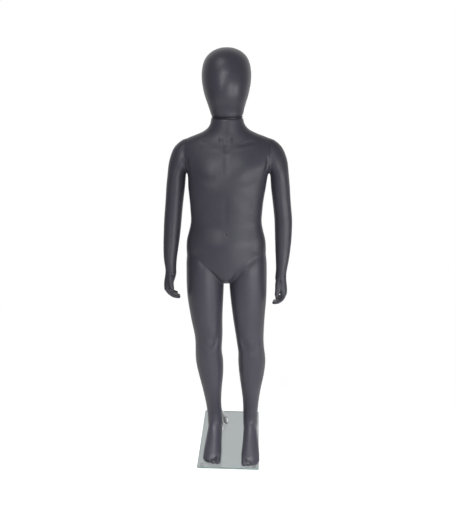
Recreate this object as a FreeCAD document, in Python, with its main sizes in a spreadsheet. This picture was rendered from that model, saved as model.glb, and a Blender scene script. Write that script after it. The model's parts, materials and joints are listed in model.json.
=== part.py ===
"""Full body shop mannequin, child size, on a glass plate with a calf rod.

Millimetres, +Z up, the figure faces -Y. The origin is under the middle of the whole
object, on the surface that the plate's rubber feet stand on. Heights of the figure are
given above its soles, and sideways places from the middle of its shoulders. Right and left
are the figure's own, so its left side is on +X.
"""
import FreeCAD
import Part
import Sketcher
import math
import os

V = FreeCAD.Vector

# Every driving size: group, then name and value, in millimetres or degrees.
SIZES = {
    "where the figure stands": {
        "stance_side": 5.6,
        "wall": 3.0,
        "end_wall": 9.0,
        "turning_gap": 0.4,
        "running_clearance": 0.08,
        "rest_gap": 0.3,
    },
    "glass plate and its feet": {
        "plate_width": 205.0,
        "plate_length": 310.0,
        "plate_thickness": 6.0,
        "plate_corner_radius": 4.0,
        "plate_edge_chamfer": 0.8,
        "bumper_height": 4.0,
        "bumper_radius": 7.0,
        "bumper_edge_chamfer": 0.8,
        "bumper_inset": 16.0,
    },
    "bolt through the glass": {
        "bolt_radius": 4.0,
        "bolt_head_radius": 8.5,
        "bolt_head_height": 2.2,
        "washer_radius": 12.0,
        "washer_thickness": 1.0,
        "gasket_radius": 20.5,
        "gasket_thickness": 1.2,
        "glass_hole_radius": 5.5,
    },
    "rod, its socket and the calf bush": {
        "flange_radius": 20.0,
        "flange_thickness": 5.0,
        "flange_edge_chamfer": 1.2,
        "rod_radius": 8.0,
        "rod_foot_right": 31.0,
        "rod_foot_back": 86.0,
        "rod_bend_right": 60.0,
        "rod_bend_back": 90.0,
        "rod_bend_height": 140.0,
        "rod_entry_right": 61.0,
        "rod_entry_back": 46.0,
        "rod_entry_height": 200.0,
        "rod_bend_radius": 32.0,
        "pin_depth": 55.0,
        "socket_length": 34.0,
        "socket_foot_radius": 15.5,
        "socket_mouth_radius": 11.5,
        "socket_clearance": 0.15,
        "socket_slit_width": 3.0,
        "socket_slit_length": 24.0,
        "clamp_boss_radius": 6.5,
        "clamp_boss_reach": 16.0,
        "clamp_screw_radius": 3.0,
        "clamp_screw_length": 9.5,
        "clamp_screw_height": 15.0,
        "hex_key_radius": 1.7,
        "hex_key_depth": 3.0,
        "bush_wall": 2.4,
        "bush_clearance": 0.3,
        "bush_plug_thickness": 4.0,
    },
    "neck fitting": {
        "neck_seam_height": 1108.0,
        "neck_cap_height": 11.0,
        "neck_axis_side": -1.0,
        "neck_axis_back": -5.0,
        "spigot_radius": 8.0,
        "spigot_length": 38.0,
        "spigot_head_radius": 15.0,
        "spigot_head_height": 4.0,
        "neck_flange_radius": 30.0,
        "neck_flange_thickness": 3.0,
        "neck_bush_radius": 12.0,
        "neck_bush_length": 42.0,
        "neck_screw_circle": 22.0,
    },
    "shoulder fittings": {
        "shoulder_face_side": 122.0,
        "shoulder_axis_height": 1005.0,
        "shoulder_axis_back": 4.0,
        "armpit_drop": 61.0,
        "fitting_radius": 27.0,
        "fitting_thickness": 3.0,
        "fitting_window_radius": 19.0,
        "fitting_screw_circle": 22.8,
        "arm_pin_radius": 6.0,
        "arm_pin_head_radius": 9.0,
        "arm_pin_head_height": 3.0,
        "keyhole_lift": 9.5,
        "keyhole_entry_radius": 9.6,
        "screw_radius": 1.8,
        "screw_head_radius": 3.4,
        "screw_head_height": 1.8,
        "screw_length": 8.0,
    },
    "wrist fittings": {
        "right_wrist_height": 640.0,
        "left_wrist_height": 630.0,
        "wrist_pin_radius": 4.5,
        "wrist_pin_reach": 20.0,
        "wrist_pin_root": 14.0,
        "wrist_bush_radius": 7.0,
        "wrist_bush_length": 24.0,
        "wrist_flange_radius": 10.0,
        "wrist_flange_thickness": 2.0,
        "wrist_end_wall": 8.0,
    },
    "groin seams": {
        "groin_split_right": 7.0,
        "groin_split_height": 594.0,
        "groin_split_width": 17.0,
        "groin_slope": 46.5,
        "groin_tilt": 17.0,
        "leg_closed_height": 724.0,
    },
}

# Cross-sections of the torso: name, height, middle sideways, front, back, width.
TORSO_SECTIONS = (
    ("under_crotch", 584.0, -7.5, -56.0, 78.0, 256.0),
    ("crotch", 598.0, -7.5, -63.0, 84.0, 257.0),
    ("groin", 618.0, -7.6, -68.0, 91.0, 257.0),
    ("seat", 648.0, -7.7, -72.0, 95.0, 256.0),
    ("hip", 680.0, -8.0, -76.0, 92.0, 254.0),
    ("high_hip", 712.0, -7.8, -78.0, 82.0, 251.0),
    ("belly", 744.0, -7.5, -79.0, 69.0, 245.0),
    ("low_waist", 766.0, -7.2, -77.0, 63.0, 233.0),
    ("waist", 800.0, -6.3, -74.0, 61.0, 217.5),
    ("high_waist", 834.0, -5.6, -76.0, 66.0, 219.0),
    ("ribs", 868.0, -4.8, -81.0, 74.0, 224.0),
    ("chest", 910.0, -3.0, -86.0, 81.0, 234.0),
    ("armpit", 948.0, -0.4, -84.0, 84.0, 243.5),
    ("high_chest", 980.0, 0.0, -78.0, 82.0, 278.0),
    ("shoulder", 1012.0, 0.0, -66.0, 76.0, 298.0),
    ("collarbone", 1032.0, 0.0, -57.0, 70.0, 294.0),
    ("shoulder_top", 1045.0, 0.0, -52.0, 66.0, 270.0),
    ("yoke", 1055.0, 0.0, -51.0, 63.0, 222.0),
    ("neck_foot", 1065.0, 0.0, -52.0, 59.0, 164.0),
    ("low_neck", 1076.0, -0.4, -53.0, 54.0, 122.0),
    ("mid_neck", 1090.0, -0.8, -53.0, 47.0, 100.0),
    ("neck_top", 1112.0, -1.0, -53.0, 43.0, 92.0),
)

# Cross-sections of the head and its neck stump, written in the same way.
HEAD_SECTIONS = (
    ("head_neck", 1119.0, -1.2, -53.5, 43.0, 93.5),
    ("under_jaw", 1130.0, -1.4, -57.0, 44.0, 98.5),
    ("jaw", 1145.0, -1.8, -69.0, 50.0, 106.5),
    ("chin", 1157.0, -1.8, -78.0, 57.0, 114.5),
    ("mouth", 1170.0, -1.9, -85.0, 64.0, 123.5),
    ("cheek", 1186.0, -2.0, -90.0, 72.0, 131.5),
    ("nose", 1202.0, -2.0, -92.5, 79.0, 137.0),
    ("eye_line", 1220.0, -2.0, -92.5, 83.5, 139.8),
    ("brow", 1238.0, -2.0, -90.0, 84.0, 139.0),
    ("forehead", 1254.0, -1.9, -84.5, 80.0, 133.0),
    ("high_forehead", 1268.0, -1.8, -76.0, 72.0, 123.0),
    ("hairline", 1280.0, -1.6, -64.0, 61.0, 105.0),
    ("high_crown", 1289.0, -1.5, -50.0, 46.0, 82.0),
    ("low_crown", 1295.5, -1.4, -34.0, 30.0, 54.0),
    ("crown_ring", 1299.0, -1.3, -17.0, 13.0, 26.0),
    ("crown", 1300.0, -1.3, -6.0, 2.0, 8.0),
)

# Cross-sections of both legs: name, height, right middle, left middle, front, back, width.
LEG_SECTIONS = (
    ("leg_sole", 4.0, -53.7, 71.8, -24.0, 42.0, 50.0),
    ("low_ankle", 40.0, -53.4, 71.8, -22.0, 40.0, 50.0),
    ("ankle", 68.0, -53.2, 71.9, -20.0, 38.0, 50.5),
    ("high_ankle", 106.0, -54.8, 72.0, -19.0, 38.0, 51.0),
    ("low_shin", 150.0, -58.0, 73.0, -24.0, 43.0, 55.5),
    ("shin", 206.0, -61.4, 73.6, -33.0, 51.0, 68.5),
    ("low_calf", 246.0, -63.5, 74.9, -38.0, 57.0, 81.0),
    ("calf", 286.0, -66.6, 75.5, -42.0, 59.0, 90.0),
    ("high_calf", 318.0, -68.6, 75.4, -45.0, 55.0, 92.0),
    ("under_knee", 346.0, -69.8, 74.4, -49.0, 47.0, 88.5),
    ("knee", 376.0, -68.7, 70.8, -52.0, 44.0, 88.5),
    ("over_knee", 410.0, -68.2, 68.1, -56.0, 47.0, 92.0),
    ("low_thigh", 478.0, -73.3, 64.6, -64.0, 56.0, 103.5),
    ("thigh", 546.0, -76.0, 63.0, -69.0, 66.0, 115.5),
    ("high_thigh", 592.0, -76.0, 61.4, -71.0, 75.0, 119.5),
    ("leg_seat", 636.0, -75.7, 60.9, -71.0, 89.0, 120.0),
    ("leg_hip", 682.0, -75.0, 60.0, -72.0, 90.0, 119.5),
    ("leg_top", 734.0, -73.0, 57.5, -72.0, 74.0, 117.0),
)

# Cross-sections of both feet from heel to toe: name, back, half-way offset, width, height.
FOOT_SECTIONS = (
    ("heel_tip", 50.0, 0.0, 22.0, 26.0),
    ("heel", 44.0, 0.0, 40.0, 44.0),
    ("heel_pad", 28.0, 0.0, 49.0, 58.0),
    ("foot_arch", -6.0, 0.5, 51.0, 70.0),
    ("instep", -40.0, 1.5, 54.0, 58.0),
    ("mid_foot", -74.0, 2.0, 59.0, 43.0),
    ("ball", -106.0, 2.0, 62.0, 31.0),
    ("toe_root", -128.0, 1.5, 60.0, 24.0),
    ("toes", -143.0, 0.5, 52.0, 18.0),
    ("toe_tip", -151.0, -1.0, 34.0, 11.0),
)

# Cross-sections of both arms: name, height, right middle, left middle, front, back, width.
ARM_SECTIONS = (
    ("wrist", 622.0, -184.0, 165.6, -38.0, 4.0, 32.5),
    ("cuff", 646.0, -185.6, 167.6, -38.0, 6.0, 35.8),
    ("low_forearm", 680.0, -183.7, 168.2, -36.0, 14.0, 41.5),
    ("mid_forearm", 710.0, -181.6, 169.0, -33.0, 22.0, 47.0),
    ("forearm", 742.0, -178.7, 169.8, -29.0, 29.0, 51.3),
    ("elbow", 774.0, -175.6, 169.6, -26.0, 33.0, 53.5),
    ("over_elbow", 806.0, -172.6, 168.6, -25.0, 35.0, 54.5),
    ("low_upper_arm", 864.0, -165.3, 162.0, -28.0, 36.0, 55.0),
    ("upper_arm", 905.0, -160.0, 157.5, -32.0, 38.0, 57.0),
    ("under_armpit", 940.0, -154.0, 153.0, -35.0, 41.0, 60.0),
    ("arm_armpit", 960.0, -149.0, 148.5, -37.0, 43.0, 64.0),
    ("deltoid", 982.0, -140.0, 140.0, -38.0, 45.0, 74.0),
    ("high_deltoid", 1012.0, -128.5, 128.5, -36.0, 44.0, 77.0),
    ("arm_shoulder", 1028.0, -124.0, 124.0, -31.0, 39.0, 69.0),
    ("arm_top", 1044.0, -119.5, 119.5, -20.0, 28.0, 40.0),
    ("arm_tip", 1051.0, -117.0, 117.0, -8.0, 16.0, 18.0),
)

# Palm of the hand below the wrist: name, drop, inward shift, front, back, thickness.
PALM_SECTIONS = (
    ("palm_top", 0.0, 0.0, -20.0, 19.0, 31.0),
    ("palm_heel", 16.0, -4.0, -25.0, 22.0, 33.0),
    ("palm_middle", 34.0, -7.5, -29.0, 25.0, 31.5),
    ("palm_knuckles", 54.0, -8.5, -30.0, 27.0, 26.0),
    ("palm_end", 63.0, -6.5, -28.0, 25.0, 19.0),
)

# Fingers: name, place forward, root radius, tip radius, three bone lengths.
FINGERS = (
    ("index", -21.5, 7.4, 5.6, 24.0, 16.0, 10.5),
    ("middle", -7.0, 7.6, 5.8, 27.0, 18.0, 11.5),
    ("ring", 7.0, 7.2, 5.5, 25.0, 17.0, 11.0),
    ("little", 19.5, 6.4, 4.9, 19.0, 13.0, 9.0),
)
FINGER_SIZES = {
    "finger_root_drop": 54.0,
    "finger_root_inward": -7.0,
    "finger_bend_root": 26.0,
    "finger_bend_middle": 50.0,
    "finger_bend_tip": 66.0,
    "thumb_root_radius": 10.0,
    "thumb_tip_radius": 6.4,
    "thumb_root_drop": 18.0,
    "thumb_root_fore": 18.0,
    "thumb_knuckle_drop": 44.0,
    "thumb_knuckle_fore": 31.0,
    "thumb_knuckle_inward": 7.0,
    "thumb_tip_drop": 68.0,
    "thumb_tip_fore": 34.0,
    "thumb_tip_inward": 13.0,
    "right_hand_fore": 17.0,
    "left_hand_fore": 17.0,
    "right_foot_back": 5.0,
    "left_foot_back": -1.0,
}

RING_POLES = 16
POLE_REACH = 6.0 / (4.0 + 2.0 * math.cos(2.0 * math.pi / RING_POLES))

doc = FreeCAD.newDocument("Mannequin")
sheet = doc.addObject("Spreadsheet::Sheet", "Sizes")


class Size:
    """A length that knows its value and the sheet formula that gives it."""

    def __init__(self, value, text):
        self.value = value
        self.text = text

    def __add__(self, other):
        other = as_size(other)
        return Size(self.value + other.value, "(%s + %s)" % (self.text, other.text))

    def __sub__(self, other):
        other = as_size(other)
        return Size(self.value - other.value, "(%s - %s)" % (self.text, other.text))

    def __mul__(self, factor):
        return Size(self.value * factor, "(%s * %.9f)" % (self.text, factor))

    def __neg__(self):
        return self * -1.0


def as_size(number):
    """Let a plain number stand where a size is asked for."""
    if isinstance(number, Size):
        return number
    return Size(float(number), "(%.9f)" % number)


def fill_sheet():
    """Write every driving size into the sheet, one row each, with its name as alias."""
    row = 1

    def write(name, number):
        nonlocal row
        sheet.set("A%d" % row, name)
        sheet.set("B%d" % row, str(number))
        sheet.setAlias("B%d" % row, name)
        row += 1

    for group, sizes in SIZES.items():
        sheet.set("A%d" % row, group)
        row += 1
        for name, number in sizes.items():
            write(name, number)
    for name, number in FINGER_SIZES.items():
        write(name, number)
    for name, height, side, front, back, width in TORSO_SECTIONS + HEAD_SECTIONS:
        for word, number in zip(("height", "side", "front", "back", "width"),
                                (height, side, front, back, width)):
            write("%s_%s" % (name, word), number)
    for name, *numbers in LEG_SECTIONS + ARM_SECTIONS:
        words = ("height", "right", "left", "front", "back", "width")
        for word, number in zip(words, numbers):
            write("%s_%s" % (name, word), number)
    for name, *numbers in FOOT_SECTIONS:
        for word, number in zip(("back", "shift", "width", "height"), numbers):
            write("%s_%s" % (name, word), number)
    for name, *numbers in PALM_SECTIONS:
        for word, number in zip(("drop", "shift", "front", "back", "thickness"), numbers):
            write("%s_%s" % (name, word), number)
    for name, *numbers in FINGERS:
        words = ("fore", "root_radius", "tip_radius", "bone_one", "bone_two", "bone_three")
        for word, number in zip(words, numbers):
            write("%s_%s" % (name, word), number)
    doc.recompute()


fill_sheet()


def size(name):
    """A driving size, bound to its cell."""
    return Size(float(sheet.get(name)), "Sizes.%s" % name)


def mm(name):
    """A driving size as a plain number, for shapes that are worked out in full."""
    return float(sheet.get(name))


# ---------------------------------------------------------------- document helpers

nodes = {}


def keep(name, item):
    """Give a sub-part its name and remember it for the checks and the files."""
    item.Label = name
    nodes[name] = item
    return item


def place(item, side=0.0, back=0.0, height=0.0, turn=None):
    """Set where an object stands; its place follows the sheet."""
    if turn is not None:
        item.Placement = FreeCAD.Placement(V(0, 0, 0), turn)
    for axis, where in (("x", side), ("y", back), ("z", height)):
        where = as_size(where)
        item.setExpression("Placement.Base.%s" % axis, where.text)
    return item


def bind(item, **sizes):
    """Bind properties of an object to sheet formulas."""
    for name, length in sizes.items():
        item.setExpression(name, as_size(length).text)
    return item


def cylinder(radius, height, side=0.0, back=0.0, low=0.0, turn=None):
    """A plain cylinder, upright unless it is turned."""
    item = doc.addObject("Part::Cylinder", "Round")
    bind(item, Radius=radius, Height=height)
    return place(item, side, back, low, turn)


def cone(low_radius, high_radius, height, side=0.0, back=0.0, low=0.0, turn=None):
    """A cone frustum, upright unless it is turned."""
    item = doc.addObject("Part::Cone", "Taper")
    bind(item, Radius1=low_radius, Radius2=high_radius, Height=height)
    return place(item, side, back, low, turn)


def joined(*items):
    """Several overlapping solids as one."""
    item = doc.addObject("Part::MultiFuse", "Joined")
    item.Shapes = list(items)
    return item


def without(base, *tools):
    """A solid with others taken away from it."""
    for tool in tools:
        cut = doc.addObject("Part::Cut", "Cut")
        cut.Base = base
        cut.Tool = tool
        base = cut
    return base


def grouped(*items):
    """Separate solids that share one name."""
    item = doc.addObject("Part::Compound", "Group")
    item.Links = list(items)
    return item


def shaped(name, shape, side=0.0, height=0.0):
    """A piece whose shape is worked out in full; it is placed after it is shaped."""
    item = doc.addObject("Part::Feature", name)
    own_place = shape.Placement
    item.Shape = shape
    item.Placement = FreeCAD.Placement(V(side, 0, height), FreeCAD.Rotation()) * own_place
    return keep(name, item)


def turned_profile(name, corners):
    """A body of revolution about its own Z axis from named radius and height corners."""
    body = doc.addObject("PartDesign::Body", name)
    sketch = draw(body, "XZ_Plane", corners)
    lathe = body.newObject("PartDesign::Revolution", "Lathe")
    lathe.Profile = sketch
    lathe.ReferenceAxis = (sketch, ["V_Axis"])
    lathe.Angle = 360.0
    return body


def draw(body, plane_role, corners):
    """A closed sketch of straight lines through corners that follow the sheet."""
    sketch = body.newObject("Sketcher::SketchObject", "Outline")
    plane = [f for f in body.Origin.OriginFeatures if f.Role == plane_role][0]
    sketch.AttachmentSupport = [(plane, "")]
    sketch.MapMode = "FlatFace"
    corners = [(as_size(across), as_size(up)) for across, up in corners]
    count = len(corners)
    for i in range(count):
        start = corners[i]
        end = corners[(i + 1) % count]
        line = Part.LineSegment(V(start[0].value, start[1].value, 0),
                                V(end[0].value, end[1].value, 0))
        sketch.addGeometry(line, False)
    for i in range(count):
        sketch.addConstraint(Sketcher.Constraint("Coincident", i, 2, (i + 1) % count, 1))
    for i, (across, up) in enumerate(corners):
        pin_corner(sketch, i, "DistanceX", -2, across)
        pin_corner(sketch, i, "DistanceY", -1, up)
    return sketch


def pin_corner(sketch, line, direction, axis, distance):
    """Fix one corner's distance from an axis, or put it on that axis."""
    if distance.value == 0.0:
        sketch.addConstraint(Sketcher.Constraint("PointOnObject", line, 1, axis))
        return
    rule = Sketcher.Constraint(direction, -1, 1, line, 1, distance.value)
    number = sketch.addConstraint(rule)
    sketch.setExpression("Constraints[%d]" % number, distance.text)


# ---------------------------------------------------------------- heights and axes

SOLE = size("bumper_height") + size("plate_thickness")
STANCE = size("stance_side")
PLATE_TOP = SOLE
FLANGE_LOW = PLATE_TOP + size("gasket_thickness")
FLANGE_TOP = FLANGE_LOW + size("flange_thickness")
FOOT_SIDE = STANCE - size("rod_foot_right")
FOOT_BACK = size("rod_foot_back")
FAR = 2.0 * mm("crown_height")
CROSSWISE = FreeCAD.Rotation(V(0, 1, 0), 90)


# ---------------------------------------------------------------- stand

def make_glass_plate():
    """Tempered glass plate with rounded corners, eased edges and one hole."""
    body = doc.addObject("PartDesign::Body", "glass_plate")
    across = size("plate_width") * 0.5
    along = size("plate_length") * 0.5
    outline = draw(body, "XY_Plane",
                   [(-across, -along), (across, -along), (across, along), (-across, along)])
    slab = body.newObject("PartDesign::Pad", "Slab")
    slab.Profile = outline
    bind(slab, Length=size("plate_thickness"))
    doc.recompute()
    upright = []
    for i, edge in enumerate(slab.Shape.Edges):
        if abs(edge.tangentAt(edge.FirstParameter).z) > 0.9:
            upright.append("Edge%d" % (i + 1))
    corners = body.newObject("PartDesign::Fillet", "Corners")
    corners.Base = (slab, upright)
    bind(corners, Radius=size("plate_corner_radius"))
    doc.recompute()
    rims = []
    for i, face in enumerate(corners.Shape.Faces):
        if abs(face.normalAt(0, 0).z) > 0.9:
            rims.append("Face%d" % (i + 1))
    eased = body.newObject("PartDesign::Chamfer", "EasedEdges")
    eased.Base = (corners, rims)
    bind(eased, Size=size("plate_edge_chamfer"))
    hole = body.newObject("Sketcher::SketchObject", "BoltHole")
    plane = [f for f in body.Origin.OriginFeatures if f.Role == "XY_Plane"][0]
    hole.AttachmentSupport = [(plane, "")]
    hole.MapMode = "FlatFace"
    radius = size("glass_hole_radius")
    side = -size("rod_foot_right")
    hole.addGeometry(Part.Circle(V(side.value, FOOT_BACK.value, 0), V(0, 0, 1), radius.value))
    number = hole.addConstraint(Sketcher.Constraint("Radius", 0, radius.value))
    hole.setExpression("Constraints[%d]" % number, radius.text)
    for direction, distance in (("DistanceX", side), ("DistanceY", FOOT_BACK)):
        rule = Sketcher.Constraint(direction, -1, 1, 0, 3, distance.value)
        number = hole.addConstraint(rule)
        hole.setExpression("Constraints[%d]" % number, distance.text)
    bore = body.newObject("PartDesign::Pocket", "Bore")
    bore.Profile = hole
    bore.Midplane = True
    bind(bore, Length=size("plate_thickness") * 4.0)
    body.Tip = bore
    keep("glass_plate", place(body, STANCE, 0.0, size("bumper_height")))


def make_plate_bumpers():
    """Four clear rubber feet under the corners of the glass."""
    feet = []
    reach_side = size("plate_width") * 0.5 - size("bumper_inset")
    reach_back = size("plate_length") * 0.5 - size("bumper_inset")
    shoulder = size("bumper_height") - size("bumper_edge_chamfer")
    for side in (-1, 1):
        for back in (-1, 1):
            stem = cylinder(size("bumper_radius"), shoulder, STANCE + reach_side * side,
                            reach_back * back, size("bumper_edge_chamfer"))
            rim = cone(size("bumper_radius") - size("bumper_edge_chamfer"),
                       size("bumper_radius"), size("bumper_edge_chamfer"),
                       STANCE + reach_side * side, reach_back * back, 0.0)
            feet.append(joined(stem, rim))
    keep("plate_bumpers", grouped(*feet))


def make_bolt_stack():
    """Low headed bolt from below, its washer, and the gasket on top of the glass."""
    under = size("bumper_height") - size("washer_thickness")
    head_low = under - size("bolt_head_height")
    bolt = turned_profile("base_bolt", [
        (0.0, 0.0),
        (size("bolt_head_radius"), 0.0),
        (size("bolt_head_radius"), size("bolt_head_height")),
        (size("bolt_radius"), size("bolt_head_height")),
        (size("bolt_radius"), FLANGE_TOP - head_low),
        (0.0, FLANGE_TOP - head_low),
    ])
    keep("base_bolt", place(bolt, FOOT_SIDE, FOOT_BACK, head_low))
    washer = without(cylinder(size("washer_radius"), size("washer_thickness"),
                              FOOT_SIDE, FOOT_BACK, under),
                     cylinder(size("bolt_radius"), size("washer_thickness"),
                              FOOT_SIDE, FOOT_BACK, under))
    keep("bolt_washer", washer)
    gasket = without(cylinder(size("gasket_radius"), size("gasket_thickness"),
                              FOOT_SIDE, FOOT_BACK, PLATE_TOP),
                     cylinder(size("bolt_radius"), size("gasket_thickness"),
                              FOOT_SIDE, FOOT_BACK, PLATE_TOP))
    keep("flange_gasket", gasket)


def make_rod_flange():
    """Round steel foot with an eased top edge and the bolt's thread through it."""
    flange = turned_profile("rod_flange", [
        (size("bolt_radius"), 0.0),
        (size("flange_radius"), 0.0),
        (size("flange_radius"), size("flange_thickness") - size("flange_edge_chamfer")),
        (size("flange_radius") - size("flange_edge_chamfer"), size("flange_thickness")),
        (size("bolt_radius"), size("flange_thickness")),
    ])
    keep("rod_flange", place(flange, FOOT_SIDE, FOOT_BACK, FLANGE_LOW))


def rod_points():
    """Foot, bend and entry of the rod's middle line, in the part's own frame."""
    stance = STANCE.value
    sole = SOLE.value
    foot = V(FOOT_SIDE.value, FOOT_BACK.value, FLANGE_TOP.value)
    bend = V(stance - mm("rod_bend_right"), mm("rod_bend_back"), sole + mm("rod_bend_height"))
    entry = V(stance - mm("rod_entry_right"), mm("rod_entry_back"),
              sole + mm("rod_entry_height"))
    return foot, bend, entry


def unit(vector):
    """The same direction, one long."""
    return V(vector).normalize()


def make_rod_socket():
    """Slanted conical socket with a slit and a screw boss, standing on the flange."""
    foot, bend, _ = rod_points()
    along = unit(bend - foot)
    bore = mm("rod_radius") + mm("socket_clearance")
    length = mm("socket_length")
    low_radius = mm("socket_foot_radius")
    spill = 2.0 * low_radius
    body = Part.makeCone(low_radius, mm("socket_mouth_radius"), length, foot, along)
    body = body.fuse(Part.makeCylinder(low_radius, spill, foot - along * spill, along))
    boss_at = foot + along * mm("clamp_screw_height")
    outward = clamp_direction(along)
    boss = Part.makeCylinder(mm("clamp_boss_radius"), mm("clamp_boss_reach"), boss_at, outward)
    body = body.fuse(boss)
    hollow = Part.makeCylinder(bore, length + 2.0 * spill, foot - along * spill, along)
    thread = Part.makeCylinder(mm("clamp_screw_radius"), mm("clamp_boss_reach") * 2.0,
                               boss_at, outward)
    slit = Part.makeBox(mm("socket_slit_width"), spill, mm("socket_slit_length") * 2.0)
    slit.translate(V(-mm("socket_slit_width") / 2.0, -spill, 0))
    slit.Placement = FreeCAD.Placement(
        foot + along * (length - mm("socket_slit_length")),
        FreeCAD.Rotation(V(0, 0, 1), along)).multiply(slit.Placement)
    below = Part.makeBox(8 * spill, 8 * spill, 4 * spill)
    below.translate(V(foot.x - 4 * spill, foot.y - 4 * spill, foot.z - 4 * spill))
    body = body.cut([hollow, thread, slit, below])
    shaped("rod_socket", body.removeSplitter())


def clamp_direction(along):
    """Square to the socket, towards the figure's left and a little forward."""
    across = V(1, -0.35, 0)
    return unit(across - along * across.dot(along))


def make_clamp_screw():
    """Set screw with a hexagon socket, a hair short of the rod."""
    foot, bend, _ = rod_points()
    along = unit(bend - foot)
    outward = clamp_direction(along)
    start = foot + along * mm("clamp_screw_height")
    start = start + outward * (mm("rod_radius") + mm("rest_gap"))
    length = mm("clamp_screw_length")
    screw = Part.makeCylinder(mm("clamp_screw_radius"), length, start, outward)
    corners = []
    for i in range(7):
        turn = math.radians(60.0 * i)
        corners.append(V(mm("hex_key_radius") * math.cos(turn),
                         mm("hex_key_radius") * math.sin(turn), 0))
    key = Part.Face(Part.makePolygon(corners)).extrude(V(0, 0, mm("hex_key_depth") * 2.0))
    key.Placement = FreeCAD.Placement(start + outward * (length - mm("hex_key_depth")),
                                      FreeCAD.Rotation(V(0, 0, 1), outward))
    shaped("clamp_screw", screw.cut(key))


def make_support_rod():
    """Steel rod: up from the socket, round one bend, and on into the calf."""
    foot, bend, entry = rod_points()
    first = unit(bend - foot)
    second = unit(entry - bend)
    radius = mm("rod_radius")
    lean = math.acos(first.z)
    lift = (radius * math.sin(lean) + mm("rest_gap")) / math.cos(lean)
    start = foot + first * lift
    end = entry + second * mm("pin_depth")
    turn = first.getAngle(second)
    reach = mm("rod_bend_radius") * math.tan(turn / 2.0)
    arc_start = bend - first * reach
    arc_end = bend + second * reach
    inward = unit(second - first)
    centre = bend + inward * (mm("rod_bend_radius") / math.cos(turn / 2.0))
    arc_middle = centre - inward * mm("rod_bend_radius")
    path = Part.Wire([
        Part.LineSegment(start, arc_start).toShape(),
        Part.Arc(arc_start, arc_middle, arc_end).toShape(),
        Part.LineSegment(arc_end, end).toShape(),
    ])
    section = Part.Wire([Part.Circle(start, first, radius).toShape()])
    shaped("support_rod", path.makePipeShell([section], True, True))


# ---------------------------------------------------------------- figure sections

def ring(side, front, back, width, height, fullness=2.0):
    """A closed smooth outline, level, through a rounded oval of the given size."""
    middle = (front + back) / 2.0
    poles = []
    for i in range(RING_POLES):
        turn = 2.0 * math.pi * i / RING_POLES
        across = math.copysign(abs(math.cos(turn)) ** (2.0 / fullness), math.cos(turn))
        along = math.copysign(abs(math.sin(turn)) ** (2.0 / fullness), math.sin(turn))
        poles.append(V(side + across * POLE_REACH * width / 2.0,
                       middle + along * POLE_REACH * (back - front) / 2.0, height))
    curve = Part.BSplineCurve()
    curve.buildFromPoles(poles, True, 3)
    return Part.Wire([curve.toShape()])


def lofted(rings):
    """One solid through level outlines."""
    return Part.makeLoft(rings, True, False)


def box_between(low, high):
    """A box from one corner to the other."""
    solid = Part.makeBox(high.x - low.x, high.y - low.y, high.z - low.z)
    solid.translate(low)
    return solid


def below(height):
    """Everything under a height."""
    return box_between(V(-FAR, -FAR, -FAR), V(FAR, FAR, height))


def above(height):
    """Everything over a height."""
    return box_between(V(-FAR, -FAR, height), V(FAR, FAR, FAR))


def prism(corners):
    """An upright-sided block that runs front to back, from corners in width and height."""
    outline = [V(across, -FAR, up) for across, up in corners]
    outline.append(outline[0])
    return Part.Face(Part.makePolygon(outline)).extrude(V(0, 2.0 * FAR, 0))


def torso_rings(inset, drop):
    """The torso's outlines, inset by a wall and lowered under the sloping shoulders."""
    rings = []
    for name, *_ in TORSO_SECTIONS:
        rings.append(ring(mm(name + "_side"), mm(name + "_front") + inset,
                          mm(name + "_back") - inset, mm(name + "_width") - 2.0 * inset,
                          mm(name + "_height") - drop, 2.15))
    return rings


def groin_prism(corners):
    """A block bounded by the groin seams, which rise a little towards the front."""
    block = prism(corners)
    block.rotate(V(0, 0, mm("groin_split_height")), V(1, 0, 0), -mm("groin_tilt"))
    return block


def groin_block(rise):
    """Everything above the two slanting groin seams, raised by a wall's thickness."""
    half = mm("groin_split_width") / 2.0
    middle = -mm("groin_split_right")
    low = mm("groin_split_height") + rise
    slope = math.tan(math.radians(mm("groin_slope")))
    shift = rise * (math.sqrt(1.0 + slope * slope) - 1.0) / slope
    left_foot = middle + half - shift
    right_foot = middle - half + shift
    left_end = low + (FAR - left_foot) * slope
    right_end = low + (right_foot + FAR) * slope
    top = 2.0 * FAR
    return groin_prism([(right_foot, low), (left_foot, low), (FAR, left_end),
                        (FAR, top), (-FAR, top), (-FAR, right_end)])


def armpit_height():
    """Height above the soles at which the shoulder's flat face ends."""
    return mm("shoulder_axis_height") - mm("armpit_drop")


def between_shoulders(inset):
    """The space inside the two shoulder faces above the armpits, and all below them."""
    face = mm("shoulder_face_side") - mm("turning_gap") / 2.0 - inset
    armpit = armpit_height() - inset
    return prism([(-face, FAR), (-face, armpit), (-FAR, armpit), (-FAR, -FAR),
                  (FAR, -FAR), (FAR, armpit), (face, armpit), (face, FAR)])


def torso_outer():
    """The torso as one closed solid."""
    form = lofted(torso_rings(0.0, 0.0)).common(groin_block(0.0))
    return form.common(between_shoulders(0.0)).common(below(mm("neck_seam_height")))


def torso_cavity():
    """The hollow inside the torso."""
    wall = mm("wall")
    form = lofted(torso_rings(wall, wall)).common(groin_block(wall))
    neck_floor = mm("neck_seam_height") - mm("end_wall")
    return form.common(between_shoulders(mm("end_wall"))).common(below(neck_floor))


def drilled(points, normal, depth, radius):
    """Round holes that start at the points and go against the face's normal."""
    tools = []
    for point in points:
        tools.append(Part.makeCylinder(radius, depth, point, V(normal) * -1.0))
    return tools


def circle_points(centre, across, up, radius, count, start):
    """Evenly spaced points on a circle in the plane of two directions."""
    points = []
    for i in range(count):
        turn = math.radians(start + 360.0 * i / count)
        points.append(centre + across * (radius * math.cos(turn))
                      + up * (radius * math.sin(turn)))
    return points


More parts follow.
